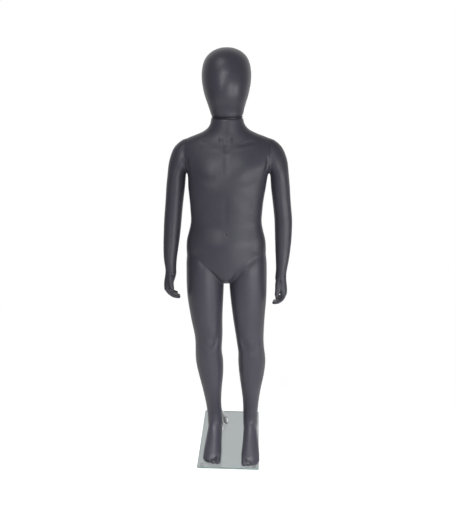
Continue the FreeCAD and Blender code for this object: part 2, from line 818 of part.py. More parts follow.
def countersunk(point, normal):
    """A countersunk screw: its head is level with the face, its shank goes inward."""
    inward = V(normal) * -1.0
    head = Part.makeCone(mm("screw_head_radius"), mm("screw_radius"),
                         mm("screw_head_height"), point, inward)
    shank = Part.makeCylinder(mm("screw_radius"), mm("screw_length"), point, inward)
    return head.fuse(shank)


def screw_group(name, points, normal):
    """Screws of one fitting as separate solids in one node."""
    return shaped(name, Part.makeCompound([countersunk(p, normal) for p in points]))


def neck_axis(height):
    """A point on the head's turning axis at a height above the soles."""
    return V(STANCE.value + mm("neck_axis_side"), mm("neck_axis_back"), SOLE.value + height)


def neck_screw_points():
    """Where the three screws of the neck socket go."""
    return circle_points(neck_axis(mm("neck_seam_height")), V(1, 0, 0), V(0, 1, 0),
                         mm("neck_screw_circle"), 3, 90.0)


def shoulder_centre(sign, gap_sign):
    """Middle of a shoulder fitting: on the torso's face (-1) or the arm's face (+1)."""
    side = mm("shoulder_face_side") + gap_sign * mm("turning_gap") / 2.0
    return V(STANCE.value + sign * side, mm("shoulder_axis_back"),
             SOLE.value + mm("shoulder_axis_height"))


def fitting_screw_points(centre, start):
    """Where the three screws of a shoulder fitting go."""
    return circle_points(centre, V(0, 1, 0), V(0, 0, 1), mm("fitting_screw_circle"), 3, start)


def to_world(shape):
    """Move a shape from the figure's own heights to its place on the plate."""
    moved = shape.copy()
    moved.translate(V(STANCE.value, 0, SOLE.value))
    return moved


SIDES = (("right", -1), ("left", 1))
SOCKET_SCREW_START = -90.0
FLANGE_SCREW_START = 90.0


def make_torso_shell():
    """Hollow torso with recesses for the neck socket and both shoulder sockets."""
    shell = to_world(torso_outer().cut(torso_cavity()))
    neck = neck_axis(mm("neck_seam_height"))
    tools = [Part.makeCylinder(mm("neck_flange_radius"), mm("neck_flange_thickness"),
                               neck, V(0, 0, -1)),
             Part.makeCylinder(mm("neck_bush_radius"), mm("neck_bush_length"),
                               neck, V(0, 0, -1))]
    tools += drilled(neck_screw_points(), V(0, 0, 1), mm("screw_length"), mm("screw_radius"))
    for _, sign in SIDES:
        face = shoulder_centre(sign, -1)
        inward = V(-sign, 0, 0)
        tools.append(Part.makeCylinder(mm("fitting_radius"), mm("fitting_thickness"),
                                       face, inward))
        tools.append(Part.makeCylinder(mm("fitting_window_radius"), mm("end_wall") * 2.0,
                                       face, inward))
        tools += drilled(fitting_screw_points(face, SOCKET_SCREW_START), V(sign, 0, 0),
                         mm("screw_length"), mm("screw_radius"))
    shaped("torso_shell", shell.cut(tools))


def leg_rings(word, inset):
    """One leg's outlines, inset by a wall."""
    rings = []
    for name, *_ in LEG_SECTIONS:
        rings.append(ring(mm("%s_%s" % (name, word)), mm(name + "_front") + inset,
                          mm(name + "_back") - inset, mm(name + "_width") - 2.0 * inset,
                          mm(name + "_height")))
    return rings


def foot_solid(word, sign):
    """Foot with a flat sole, lofted from heel to toe."""
    ankle = mm("ankle_" + word)
    shift_back = mm(word + "_foot_back")
    rings = []
    for name, *_ in FOOT_SECTIONS:
        width = mm(name + "_width")
        height = mm(name + "_height")
        side = ankle + sign * mm(name + "_shift")
        low = -0.45 * height
        outline = ring(side, low, height, width, 0.0, 2.3)
        outline.rotate(V(0, 0, 0), V(1, 0, 0), 90)
        outline.translate(V(0, mm(name + "_back") + shift_back, 0))
        rings.append(outline)
    return lofted(rings)


def leg_half_space(sign, drop):
    """Everything under one groin seam, on that leg's side."""
    foot = -mm("groin_split_right") + sign * mm("groin_split_width") / 2.0
    slope = math.tan(math.radians(mm("groin_slope")))
    low = mm("groin_split_height") - drop * math.sqrt(1.0 + slope * slope)
    inner = -mm("groin_split_right")
    far = sign * FAR
    return groin_prism([(inner, -FAR), (inner, low), (foot, low),
                        (far, low + abs(far - foot) * slope), (far, -FAR)])


def calf_axis():
    """Entry point and direction of the rod inside the calf, in the part's frame."""
    _, bend, entry = rod_points()
    return entry, unit(entry - bend)


def make_leg_shell(word, sign):
    """Hollow leg with a solid foot; the right calf is bored for the rod's bush."""
    seam = leg_half_space(sign, 0.0)
    outer = lofted(leg_rings(word, 0.0)).common(below(mm("leg_closed_height"))).common(seam)
    outer = outer.fuse(foot_solid(word, sign)).common(above(0.0))
    room = below(mm("leg_closed_height") - mm("wall")).common(above(mm("ankle_height")))
    cavity = lofted(leg_rings(word, mm("wall"))).common(room)
    cavity = cavity.common(leg_half_space(sign, mm("wall")))
    shell = to_world(outer.cut(cavity))
    if word == "right":
        entry, along = calf_axis()
        radius = bush_outer_radius()
        length = mm("pin_depth") + mm("rest_gap") + mm("bush_plug_thickness")
        lead = 3.0 * radius
        shell = shell.cut(Part.makeCylinder(radius, length + lead,
                                            entry - along * lead, along))
        make_calf_bush(to_world(outer), entry, along, length, lead)
    shaped("%s_leg_shell" % word, shell)


def bush_outer_radius():
    """Outer radius of the calf bush."""
    return mm("rod_radius") + mm("bush_clearance") + mm("bush_wall")


def make_calf_bush(leg, entry, along, length, lead):
    """Steel tube in the calf, cut level with the skin, and the plug in its upper end."""
    tube = Part.makeCylinder(bush_outer_radius(), length + lead, entry - along * lead, along)
    bore = mm("rod_radius") + mm("bush_clearance")
    tube = tube.cut(Part.makeCylinder(bore, length + lead, entry - along * lead, along))
    shaped("calf_bush", tube.common(leg))
    start = entry + along * (mm("pin_depth") + mm("rest_gap"))
    shaped("bush_plug", Part.makeCylinder(bore, mm("bush_plug_thickness"), start, along))


# ---------------------------------------------------------------- head and neck

def head_rings(inset):
    """The head's outlines, inset by a wall."""
    rings = []
    for name, *_ in HEAD_SECTIONS:
        width = mm(name + "_width") - 2.0 * inset
        if width < 16.0 and inset:
            continue
        rings.append(ring(mm(name + "_side"), mm(name + "_front") + inset,
                          mm(name + "_back") - inset, width,
                          mm(name + "_height") - inset, 2.0))
    return rings


def cap_top():
    """Height of the seam between the neck cap and the head."""
    return mm("neck_seam_height") + mm("neck_cap_height")


def make_head_shell():
    """Hollow egg head, open at the bottom of its neck stump."""
    outer = lofted(head_rings(0.0)).common(above(cap_top()))
    low_ring = head_rings(mm("wall"))[0].copy()
    low_ring.translate(V(0, 0, -2.0 * mm("wall")))
    cavity = lofted([low_ring] + head_rings(mm("wall")))
    shaped("head_shell", outer.cut(cavity), STANCE.value, SOLE.value)


def make_neck_cap():
    """The ring between head and neck: it closes the head and carries the spigot."""
    low = mm("neck_seam_height") + mm("turning_gap")
    top = cap_top()
    names = ("neck_top", "head_neck")
    rings = []
    for name, height in zip(names, (low, top)):
        rings.append(ring(mm(name + "_side"), mm(name + "_front"), mm(name + "_back"),
                          mm(name + "_width"), height))
    cap = to_world(lofted(rings))
    bore = Part.makeCylinder(mm("spigot_radius"), 4.0 * mm("neck_cap_height"),
                             neck_axis(low - mm("neck_cap_height")), V(0, 0, 1))
    shaped("neck_cap", cap.cut(bore))


def make_neck_fitting():
    """Spigot of the head and the flanged bush that it turns in."""
    seam = size("neck_seam_height")
    axis_side = STANCE + size("neck_axis_side")
    axis_back = size("neck_axis_back")
    top = seam + size("neck_cap_height")
    spigot = turned_profile("head_spigot", [
        (0.0, 0.0),
        (size("spigot_radius"), 0.0),
        (size("spigot_radius"), top - seam + size("spigot_length")),
        (size("spigot_head_radius"), top - seam + size("spigot_length")),
        (size("spigot_head_radius"),
         top - seam + size("spigot_length") + size("spigot_head_height")),
        (0.0, top - seam + size("spigot_length") + size("spigot_head_height")),
    ])
    keep("head_spigot", place(spigot, axis_side, axis_back,
                              SOLE + seam - size("spigot_length")))
    bore = size("spigot_radius") + size("running_clearance")
    bush = turned_profile("neck_bush_blank", [
        (bore, -size("neck_bush_length")),
        (size("neck_bush_radius"), -size("neck_bush_length")),
        (size("neck_bush_radius"), -size("neck_flange_thickness")),
        (size("neck_flange_radius"), -size("neck_flange_thickness")),
        (size("neck_flange_radius"), 0.0),
        (bore, 0.0),
    ])
    place(bush, axis_side, axis_back, SOLE + seam)
    doc.recompute()
    screws = [countersunk(point, V(0, 0, 1)) for point in neck_screw_points()]
    sinks = doc.addObject("Part::Feature", "NeckScrewSinks")
    sinks.Shape = Part.makeCompound(screws)
    keep("neck_socket", without(bush, sinks))
    screw_group("neck_screws", neck_screw_points(), V(0, 0, 1))


# ---------------------------------------------------------------- arms and shoulders

def arm_rings(word, inset):
    """One arm's outlines, inset by a wall."""
    rings = []
    for name, *_ in ARM_SECTIONS:
        width = mm(name + "_width") - 2.0 * inset
        rings.append(ring(mm("%s_%s" % (name, word)), mm(name + "_front") + inset,
                          mm(name + "_back") - inset, width,
                          mm(name + "_height") - inset * 0.5))
    return rings


def outside_shoulder(sign, inset):
    """The space outside one shoulder face."""
    face = mm("shoulder_face_side") + mm("turning_gap") / 2.0 + inset
    low, high = sorted((sign * face, sign * FAR))
    return box_between(V(low, -FAR, -FAR), V(high, FAR, FAR))


def wrist_axis(word, height):
    """A point on the wrist's turning axis at a height above the soles."""
    front = mm("wrist_front")
    back = mm("wrist_back")
    return V(STANCE.value + mm("wrist_" + word), (front + back) / 2.0, SOLE.value + height)


def make_arm_shell(word, sign):
    """Hollow arm, flat at the shoulder, recessed for its flange and its wrist bush."""
    wrist = mm(word + "_wrist_height")
    outer = lofted(arm_rings(word, 0.0)).common(above(wrist))
    outer = outer.common(outside_shoulder(sign, 0.0))
    cavity = lofted(arm_rings(word, mm("wall"))).common(above(wrist + mm("wrist_end_wall")))
    cavity = cavity.common(outside_shoulder(sign, mm("end_wall")))
    shell = to_world(outer.cut(cavity))
    face = shoulder_centre(sign, 1)
    outward = V(sign, 0, 0)
    end = wrist_axis(word, wrist)
    tools = [Part.makeCylinder(mm("fitting_radius"), mm("fitting_thickness"), face, outward),
             Part.makeCylinder(mm("wrist_flange_radius"), mm("wrist_flange_thickness"),
                               end, V(0, 0, 1)),
             Part.makeCylinder(mm("wrist_bush_radius"), mm("wrist_bush_length"),
                               end, V(0, 0, 1))]
    tools += drilled(fitting_screw_points(face, FLANGE_SCREW_START), V(-sign, 0, 0),
                     mm("screw_length"), mm("screw_radius"))
    shaped("%s_arm_shell" % word, shell.cut(tools))


def make_shoulder_fittings(word, sign):
    """Keyhole socket on the torso, and flange with headed pin on the arm."""
    turn = FreeCAD.Rotation(V(0, 1, 0), 90 * sign)
    back = size("shoulder_axis_back")
    height = SOLE + size("shoulder_axis_height")
    half_gap = size("turning_gap") * 0.5
    face = size("shoulder_face_side")
    thickness = size("fitting_thickness")
    inner_side = STANCE + (face - half_gap - thickness) * sign
    disc = cylinder(size("fitting_radius"), thickness, inner_side, back, height, turn)
    seat = cylinder(size("arm_pin_radius") + size("running_clearance"), thickness,
                    inner_side, back, height, turn)
    lift = size("keyhole_lift")
    entry = cylinder(size("keyhole_entry_radius"), thickness, inner_side, back,
                     height + lift, turn)
    sinks = doc.addObject("Part::Feature", "ScrewSinks")
    face_centre = shoulder_centre(sign, -1)
    points = fitting_screw_points(face_centre, SOCKET_SCREW_START)
    sinks.Shape = Part.makeCompound([countersunk(point, V(sign, 0, 0)) for point in points])
    keep("%s_shoulder_socket" % word, without(disc, seat, entry, sinks))
    screw_group("%s_shoulder_screws" % word, points, V(sign, 0, 0))

    outer_side = STANCE + (face + half_gap) * sign
    plate = cylinder(size("fitting_radius"), thickness, outer_side, back, height, turn)
    stud_hole = cylinder(size("arm_pin_radius"), thickness, outer_side, back, height, turn)
    flange_sinks = doc.addObject("Part::Feature", "FlangeScrewSinks")
    points = fitting_screw_points(shoulder_centre(sign, 1), FLANGE_SCREW_START)
    flange_sinks.Shape = Part.makeCompound([countersunk(point, V(-sign, 0, 0))
                                            for point in points])
    keep("%s_arm_flange" % word, without(plate, stud_hole, flange_sinks))
    screw_group("%s_arm_screws" % word, points, V(-sign, 0, 0))

    neck = size("turning_gap") + thickness + size("rest_gap")
    pin_start = outer_side + (-neck) * sign
    shank = cylinder(size("arm_pin_radius"), neck + thickness, pin_start, back, height, turn)
    head_start = pin_start - size("arm_pin_head_height") * sign
    head = cylinder(size("arm_pin_head_radius"), size("arm_pin_head_height"),
                    head_start, back, height, turn)
    keep("%s_arm_pin" % word, joined(shank, head))


# ---------------------------------------------------------------- hands and wrists

def wrist_middle():
    """Half-way between front and back of the wrist."""
    return (mm("wrist_front") + mm("wrist_back")) / 2.0


def finger_solid(name, sign, root):
    """Three bones as tapering rounds with a ball at each joint."""
    bends = (mm("finger_bend_root"), mm("finger_bend_middle"), mm("finger_bend_tip"))
    bones = (mm(name + "_bone_one"), mm(name + "_bone_two"), mm(name + "_bone_three"))
    radius = mm(name + "_root_radius")
    fall = (radius - mm(name + "_tip_radius")) / 3.0
    solid = Part.makeSphere(radius, root)
    at = root
    for bend, bone in zip(bends, bones):
        turn = math.radians(bend)
        along = V(-sign * math.sin(turn), 0, -math.cos(turn))
        solid = solid.fuse(Part.makeCone(radius, radius - fall, bone, at, along))
        at = at + along * bone
        radius = radius - fall
        solid = solid.fuse(Part.makeSphere(radius, at))
    return solid


def thumb_solid(sign, wrist):
    """Two bones of the thumb from the front edge of the palm."""
    inward = -sign
    root = wrist + V(0, -mm("thumb_root_fore"), -mm("thumb_root_drop"))
    knuckle = wrist + V(inward * mm("thumb_knuckle_inward"), -mm("thumb_knuckle_fore"),
                        -mm("thumb_knuckle_drop"))
    tip = wrist + V(inward * mm("thumb_tip_inward"), -mm("thumb_tip_fore"),
                    -mm("thumb_tip_drop"))
    big = mm("thumb_root_radius")
    small = mm("thumb_tip_radius")
    middle = (big + small) / 2.0
    first = Part.makeCone(big, middle, (knuckle - root).Length, root, knuckle - root)
    second = Part.makeCone(middle, small, (tip - knuckle).Length, knuckle, tip - knuckle)
    solid = Part.makeSphere(big, root).fuse(first).fuse(Part.makeSphere(middle, knuckle))
    return solid.fuse(second).fuse(Part.makeSphere(small, tip))


def make_hand(word, sign):
    """Hand that hangs with its thumb forward and its fingers curled towards the thigh."""
    top = mm(word + "_wrist_height") - mm("turning_gap")
    wrist = V(mm("wrist_" + word), wrist_middle(), top)
    rings = []
    for name, *_ in PALM_SECTIONS:
        rings.append(ring(wrist.x - sign * mm(name + "_shift"),
                          wrist.y + mm(name + "_front"), wrist.y + mm(name + "_back"),
                          mm(name + "_thickness"), wrist.z - mm(name + "_drop"), 2.2))
    solid = lofted(rings)
    for name, *_ in FINGERS:
        root = wrist + V(-sign * mm("finger_root_inward"), mm(name + "_fore"),
                         -mm("finger_root_drop"))
        solid = solid.fuse(finger_solid(name, sign, root))
    solid = solid.fuse(thumb_solid(sign, wrist))
    peg = Part.makeCylinder(mm("wrist_pin_radius"), mm("wrist_pin_root"), wrist, V(0, 0, -1))
    shaped("%s_hand" % word, to_world(solid.cut(peg)))


def make_wrist_fittings(word):
    """Flanged bush in the forearm and the peg of the hand that turns in it."""
    side = STANCE + size("wrist_" + word)
    back = (size("wrist_front") + size("wrist_back")) * 0.5
    seam = SOLE + size(word + "_wrist_height")
    bore = size("wrist_pin_radius") + size("running_clearance")
    bush = turned_profile("%s_wrist_bush" % word, [
        (bore, 0.0),
        (size("wrist_flange_radius"), 0.0),
        (size("wrist_flange_radius"), size("wrist_flange_thickness")),
        (size("wrist_bush_radius"), size("wrist_flange_thickness")),
        (size("wrist_bush_radius"), size("wrist_bush_length")),
        (bore, size("wrist_bush_length")),
    ])
    keep("%s_wrist_bush" % word, place(bush, side, back, seam))
    root = seam - size("turning_gap") - size("wrist_pin_root")
    pin = cylinder(size("wrist_pin_radius"),
                   size("wrist_pin_root") + size("turning_gap") + size("wrist_pin_reach"),
                   side, back, root)
    keep("%s_wrist_pin" % word, pin)


# ---------------------------------------------------------------- build, check, write

def build():
    """Make every sub-part."""
    make_glass_plate()
    make_plate_bumpers()
    make_bolt_stack()
    make_rod_flange()
    make_rod_socket()
    make_clamp_screw()
    make_support_rod()
    make_torso_shell()
    make_head_shell()
    make_neck_cap()
    make_neck_fitting()
    for word, sign in SIDES:
        make_leg_shell(word, sign)
        make_arm_shell(word, sign)
        make_shoulder_fittings(word, sign)
        make_hand(word, sign)
        make_wrist_fittings(word)
    doc.recompute()


def check():
    """Stop if any object failed or any sub-part has no sound shape."""
    for item in doc.Objects:
        if "Invalid" in item.State or "Error" in item.State:
            raise RuntimeError("%s is in state %s" % (item.Label, item.State))
    for name, item in nodes.items():
        shape = item.Shape
        if shape.isNull() or not shape.isValid() or not shape.Solids:
            raise RuntimeError("%s has no sound solid" % name)
        print("%-24s %2d solids %12.1f mm3" % (name, len(shape.Solids), shape.Volume))


def write():
    """Write each sub-part to its own file."""
    os.makedirs("parts", exist_ok=True)
    for name, item in nodes.items():
        item.Shape.exportStep("parts/%s.step" % name)


build()
check()
write()
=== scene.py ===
# %% [markdown]
# # A shop mannequin on a glass plate
#
# This notebook dresses a child-size display figure for the camera. The construction is done
# already: plate, rod, sockets, pins and the plain hollow shells come in as a fixed frame.
# What is left is what a sculptor and a spray booth would do. The shells get a body, with
# collarbones, kneecaps, fingers and toes, and every part gets its finish.

# %% Load the frame
import json
import math

import bmesh
import bpy
from mathutils import Matrix, Vector
from mathutils.bvhtree import BVHTree
from mathutils.kdtree import KDTree


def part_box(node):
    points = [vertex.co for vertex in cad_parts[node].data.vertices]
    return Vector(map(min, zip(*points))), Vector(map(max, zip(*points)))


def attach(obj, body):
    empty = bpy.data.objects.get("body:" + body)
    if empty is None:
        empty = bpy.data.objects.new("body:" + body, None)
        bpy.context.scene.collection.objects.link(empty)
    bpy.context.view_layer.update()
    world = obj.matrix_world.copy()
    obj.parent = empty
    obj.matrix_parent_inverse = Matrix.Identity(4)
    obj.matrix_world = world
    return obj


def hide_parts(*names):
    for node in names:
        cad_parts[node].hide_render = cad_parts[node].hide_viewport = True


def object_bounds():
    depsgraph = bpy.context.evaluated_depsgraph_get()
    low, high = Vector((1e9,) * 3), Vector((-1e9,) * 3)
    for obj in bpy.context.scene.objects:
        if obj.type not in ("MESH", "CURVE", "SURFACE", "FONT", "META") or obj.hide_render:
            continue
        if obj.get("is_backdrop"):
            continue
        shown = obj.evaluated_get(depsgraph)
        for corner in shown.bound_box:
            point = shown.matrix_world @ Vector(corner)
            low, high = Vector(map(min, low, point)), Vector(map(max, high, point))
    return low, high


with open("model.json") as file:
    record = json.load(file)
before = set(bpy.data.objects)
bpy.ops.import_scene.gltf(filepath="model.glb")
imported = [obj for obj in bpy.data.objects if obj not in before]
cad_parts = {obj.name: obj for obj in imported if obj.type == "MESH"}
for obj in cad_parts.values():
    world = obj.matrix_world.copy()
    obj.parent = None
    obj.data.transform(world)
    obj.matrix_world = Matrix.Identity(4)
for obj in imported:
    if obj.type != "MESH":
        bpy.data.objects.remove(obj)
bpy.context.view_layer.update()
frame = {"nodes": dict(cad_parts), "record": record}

MM = 0.001

# %% [markdown]
# ## Where things are
#
# The figure was measured in millimetres above its soles and sideways from the middle of its
# shoulders. The glass plate says where both of those are: the soles stand on its top face,
# and the figure's middle is the plate's. One small function then turns such a place into
# metres in the frame.

# %% Places on the figure
plate_low, plate_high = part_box("glass_plate")
SOLE = plate_high.z
MIDDLE = (plate_low.x + plate_high.x) / 2


def at(side, back, height):
    """A place on the figure, given in millimetres, as a point of the frame."""
    return Vector((MIDDLE + side * MM, back * MM, SOLE + height * MM))


print("soles at", round(SOLE, 4), "m, middle at x =", round(MIDDLE, 4), "m")

# %% [markdown]
# ## The camera
#
# The four corners of the plate, its thickness and the crown of the head fix the camera. It
# stands a little to the right, just below the figure's crown, and looks down by nineteen
# degrees. Its axes are worked out from three angles and written into the object's matrix,
# which is plainer than an Euler rotation when there is roll.

# %% Camera
CAMERA_PLACE = Vector((MIDDLE + 0.0850, -1.5761, 1.2403))
CAMERA_YAW = math.radians(-3.164)
CAMERA_PITCH = math.radians(-19.034)
CAMERA_ROLL = math.radians(-0.462)
FRAME_HEIGHT_PX = 512
FOCAL_LENGTH_PX = 529.0
SENSOR_MM = 36.0


def placed(name, data):
    """Put a mesh, a lamp or a camera into the scene as an object."""
    made = bpy.data.objects.new(name, data)
    bpy.context.scene.collection.objects.link(made)
    return made


def camera_axes(yaw, pitch, roll):
    """Right, up and forward of a camera, for its yaw, pitch and roll."""
    level = math.cos(pitch)
    forward = Vector((math.sin(yaw) * level, math.cos(yaw) * level, math.sin(pitch)))
    right = Vector((math.cos(yaw), -math.sin(yaw), 0.0))
    up = right.cross(forward)
    rolled_right = right * math.cos(roll) + up * math.sin(roll)
    return rolled_right, up * math.cos(roll) - right * math.sin(roll), forward


camera = placed("camera", bpy.data.cameras.new("camera"))
right, up, forward = camera_axes(CAMERA_YAW, CAMERA_PITCH, CAMERA_ROLL)
turn = Matrix((right, up, -forward)).transposed().to_4x4()
camera.matrix_world = Matrix.Translation(CAMERA_PLACE) @ turn
camera.data.sensor_width = SENSOR_MM
camera.data.lens = FOCAL_LENGTH_PX / FRAME_HEIGHT_PX * SENSOR_MM
camera.data.clip_end = 50.0
bpy.context.scene.camera = camera
print("lens", round(camera.data.lens, 2), "mm")

# %% [markdown]
# ## Finishes
#
# Each finish is a Principled shader with a little life in it. A number that is the same all
# over goes straight into its socket, and what varies is linked to it. So one helper takes
# both, by looking whether the value is another node's output. The others are built from it.

# %% Node helpers
def feed(tree, made, inputs):
    """Set a node's input sockets, or link them where the value is another node's output."""
    for socket, value in inputs.items():
        if isinstance(value, bpy.types.NodeSocket):
            tree.links.new(value, made.inputs[socket])
        else:
            made.inputs[socket].default_value = value


def node(tree, kind, inputs=None, **settings):
    """Add a node with the given inputs and settings."""
    made = tree.nodes.new("ShaderNode" + kind)
    for name, value in settings.items():
        setattr(made, name, value)
    feed(tree, made, inputs or {})
    return made


def new_finish(name, **sockets):
    """A material with one Principled shader; returns it, its tree and the shader."""
    material = bpy.data.materials.new(name)
    material.use_nodes = True
    tree = material.node_tree
    shader = tree.nodes["Principled BSDF"]
    feed(tree, shader, {socket.replace("_", " "): value for socket, value in sockets.items()})
    return material, tree, shader


def mapped(tree, source, start, end, low=0.0, high=1.0):
    """A number that goes from low to high while the source goes from start to end."""
    return node(tree, "MapRange", {"Value": source, "From Min": start, "From Max": end,
                                   "To Min": low, "To Max": high}).outputs["Result"]


print("node helpers ready")

# %% [markdown]
# ### Speckle and relief
#
# What varies in a finish, such as the cloudiness of a sprayed coat, comes from noise on Object
# coordinates, so the grain keeps its real size on every piece. The same noise as a bump gives
# orange peel and scratches.

# %% Speckle and relief
NOISE_RANGE = (0.3, 0.7)


def grain(tree, scale, detail=2.0, stretch=(1, 1, 1)):
    """Noise on Object coordinates, in cycles per metre."""
    place = node(tree, "TexCoord").outputs["Object"]
    mapping = node(tree, "Mapping", {"Vector": place, "Scale": stretch})
    return node(tree, "TexNoise", {"Vector": mapping.outputs["Vector"], "Scale": scale,
                                   "Detail": detail}).outputs["Fac"]


def ramp(tree, source, start, end, low, high):
    """Blend two colours or two numbers while the source goes from start to end."""
    made = node(tree, "ValToRGB", {"Fac": source})
    for stop, place, value in zip(made.color_ramp.elements, (start, end), (low, high)):
        stop.position = place
        stop.color = (*value, 1.0) if isinstance(value, tuple) else (value, value, value, 1.0)
    return made.outputs["Color"]


def speckled(name, colours, colour_grain, roughness, rough_grain, **sockets):
    """A finish whose colour and roughness each drift between two values."""
    material, tree, shader = new_finish(name, **sockets)
    for socket, ends, size in (("Base Color", colours, colour_grain),
                               ("Roughness", roughness, rough_grain)):
        feed(tree, shader, {socket: ramp(tree, grain(tree, *size), *NOISE_RANGE, *ends)})
    return material


def emboss(material, size, height, strength):
    """Add a fine relief, its height in metres, and return the material."""
    tree = material.node_tree
    bump = node(tree, "Bump", {"Height": grain(tree, *size), "Distance": height,
                               "Strength": strength})
    feed(tree, tree.nodes["Principled BSDF"], {"Normal": bump.outputs["Normal"]})
    return material


print("noise is used from", *NOISE_RANGE)

# %% [markdown]
# ### The sprayed skin
#
# The shells are plastic under a sprayed matt coat of dark grey with a breath of violet. Such
# a coat is never quite even: it is a shade lighter where it went on thick, its sheen drifts
# from hand to hand, and close up it has the fine orange peel of dried spray. The smooth head
# shines a little more than the rest. The neck ring's coat is painted darker, as painted shade
# for the shadow in its grooves.

# %% Sprayed grey
THIN_COAT = (0.048, 0.0462, 0.0620)
THICK_COAT = (0.056, 0.0538, 0.0725)
# Painted shade: the ring's darker colour stands in for the shadow in the grooves beside its lip.
RING_PAINTED_SHADE = (0.020, 0.019, 0.026)
SHEEN_DRIFT = 0.08
PEEL_HEIGHT = 0.00006


def sprayed_grey(name, thin, thick, shine, smooth):
    """Matt dark grey coat over plastic, with its gloss and its smoothest patches."""
    coat = speckled(name, (thin, thick), (9.0, 3.0), (smooth, smooth + SHEEN_DRIFT),
                    (26.0, 4.0), Specular_IOR_Level=shine)
    return emboss(coat, (900.0, 3.0), PEEL_HEIGHT, 0.35)


SKIN = sprayed_grey("sprayed_grey", THIN_COAT, THICK_COAT, 0.42, 0.41)
HEAD_COAT = sprayed_grey("head_coat", THIN_COAT, THICK_COAT, 0.46, 0.35)
RING_SHADE_COAT = sprayed_grey("ring_painted_shade", RING_PAINTED_SHADE, THIN_COAT, 0.40, 0.41)
print("made", SKIN.name + ",", HEAD_COAT.name, "and", RING_SHADE_COAT.name)

# %% [markdown]
# ### Glass
#
# Float glass is clear through its face and green through its cut edge, where the eye looks
# along centimetres of it. Its faces are tinted darker grey than clear glass, as painted shade
# for the shadow on the floor under the plate. The face's own direction tells the two apart,
# so one material serves the whole plate.

# %% Glass
CUT_EDGE = (0.13, 0.25, 0.22)
# Painted shade: the faces' grey tint stands in for the shadow on the floor below the plate.
FACE_TINT_WITH_SHADE = (0.38, 0.405, 0.41)
EDGE_TO_FACE = (0.55, 0.9)


def plate_glass():
    """Clear but grey on its faces, darkened as painted shade, and green at its cut edges."""
    material, tree, shader = new_finish("plate_glass", Roughness=0.02, IOR=1.5)
    facing = node(tree, "SeparateXYZ", {"Vector": node(tree, "TexCoord").outputs["Normal"]})
    upright = node(tree, "Math", {0: facing.outputs["Z"]}, operation="ABSOLUTE").outputs[0]
    feed(tree, shader, {
        "Base Color": ramp(tree, upright, *EDGE_TO_FACE, CUT_EDGE, FACE_TINT_WITH_SHADE),
        "Transmission Weight": mapped(tree, upright, *EDGE_TO_FACE),
    })
    return material


GLASS = plate_glass()
print("made", GLASS.name)

# %% [markdown]
# ### Steel and rubber
#
# The rod and its socket are satin steel: turned, brushed along their length and a little
# dull. Screws are zinc plated, so they are paler and rougher. The plate's feet and the
# gasket are milky rubber, thin enough to see through, and the plug of the calf's tube is
# moulded in black plastic.

# %% Metals and rubber
SCRATCH_HEIGHT = 0.00002

TURNED = speckled("satin_steel", ((0.50, 0.50, 0.51), (0.60, 0.60, 0.61)), (60.0, 3.0),
                  (0.26, 0.40), (800.0, 2.0, (1, 1, 0.05)), Metallic=1.0, Anisotropic=0.3)
BRUSHED = emboss(TURNED, (1500.0, 2.0, (1, 1, 0.04)), SCRATCH_HEIGHT, 0.5)
PLATED = speckled("zinc_plate", ((0.46, 0.47, 0.50), (0.58, 0.58, 0.59)), (300.0, 3.0),
                  (0.32, 0.5), (500.0,), Metallic=1.0)
RUBBER = speckled("milky_rubber", ((0.84, 0.86, 0.85), (0.90, 0.92, 0.91)), (200.0,),
                  (0.15, 0.30), (350.0,), Alpha=0.25, IOR=1.42)
PLASTIC = speckled("black_plastic", ((0.018, 0.018, 0.020), (0.030, 0.030, 0.032)), (400.0,),
                   (0.45, 0.60), (250.0,))
FINISHES = {
    "grey_shell": SKIN,
    "clear_glass": GLASS,
    "clear_rubber": RUBBER,
    "satin_steel": BRUSHED,
    "plated_steel": PLATED,
    "black_plastic": PLASTIC,
}
for part in frame["record"]["subparts"]:
    slots = frame["nodes"][part["node"]].data.materials
    if not slots:
        slots.append(None)
    for number in range(len(slots)):
        slots[number] = FINISHES[part["material_slot"]]

# %% [markdown]
# ## Clay: lofting rough forms
#
# A figure sculptor starts from lumps of clay for trunk, limbs and feet, presses them together
# and only then models. The lumps here are lofts: rings of vertices from create_circle, with
# bridge_loops to skin one ring to the next. The ring's corners would shrink under
# subdivision, so a ring is made larger by just what subdivision takes away.

# %% Rings
RING_POINTS = 24
SUBDIVISION_SHRINK = (4.0 + 2.0 * math.cos(2.0 * math.pi / RING_POINTS)) / 6.0
OVAL = 2.0
UP = Vector((0, 0, 1))
DOWN = -UP


def facing(place, direction):
    """A matrix at a place, turned so that its own upward axis points in a direction."""
    return Matrix.Translation(place) @ UP.rotation_difference(direction).to_matrix().to_4x4()


def ring(clay, place, width, depth, fullness=OVAL):
    """One closed ring: an oval, or a squarer one where fullness is over 2."""
    made = bmesh.ops.create_circle(clay, segments=RING_POINTS, radius=1.0)["verts"]
    for vert in made:
        turn = math.atan2(vert.co.y, vert.co.x)
        across = math.copysign(abs(math.cos(turn)) ** (2.0 / fullness), math.cos(turn))
        along = math.copysign(abs(math.sin(turn)) ** (2.0 / fullness), math.sin(turn))
        vert.co = place @ Vector((across * width / 2, along * depth / 2, 0.0))
        vert.co = place.translation + (vert.co - place.translation) / SUBDIVISION_SHRINK
    return list({edge for vert in made for edge in vert.link_edges})


def skin(clay, rings):
    """Bridge the rings one to the next and close both ends."""
    for low, high in zip(rings, rings[1:]):
        bmesh.ops.bridge_loops(clay, edges=low + high)
    bmesh.ops.holes_fill(clay, edges=rings[0] + rings[-1], sides=0)


print("rings have", RING_POINTS, "points")

# %% [markdown]
# ### Sections and tubes
#
# A loft that stands upright has a short list of measured sections, and a smooth curve fills in
# those between. Round forms such as fingers follow a bent line instead.

# %% Sections and tubes
RING_SPACING = 12.0


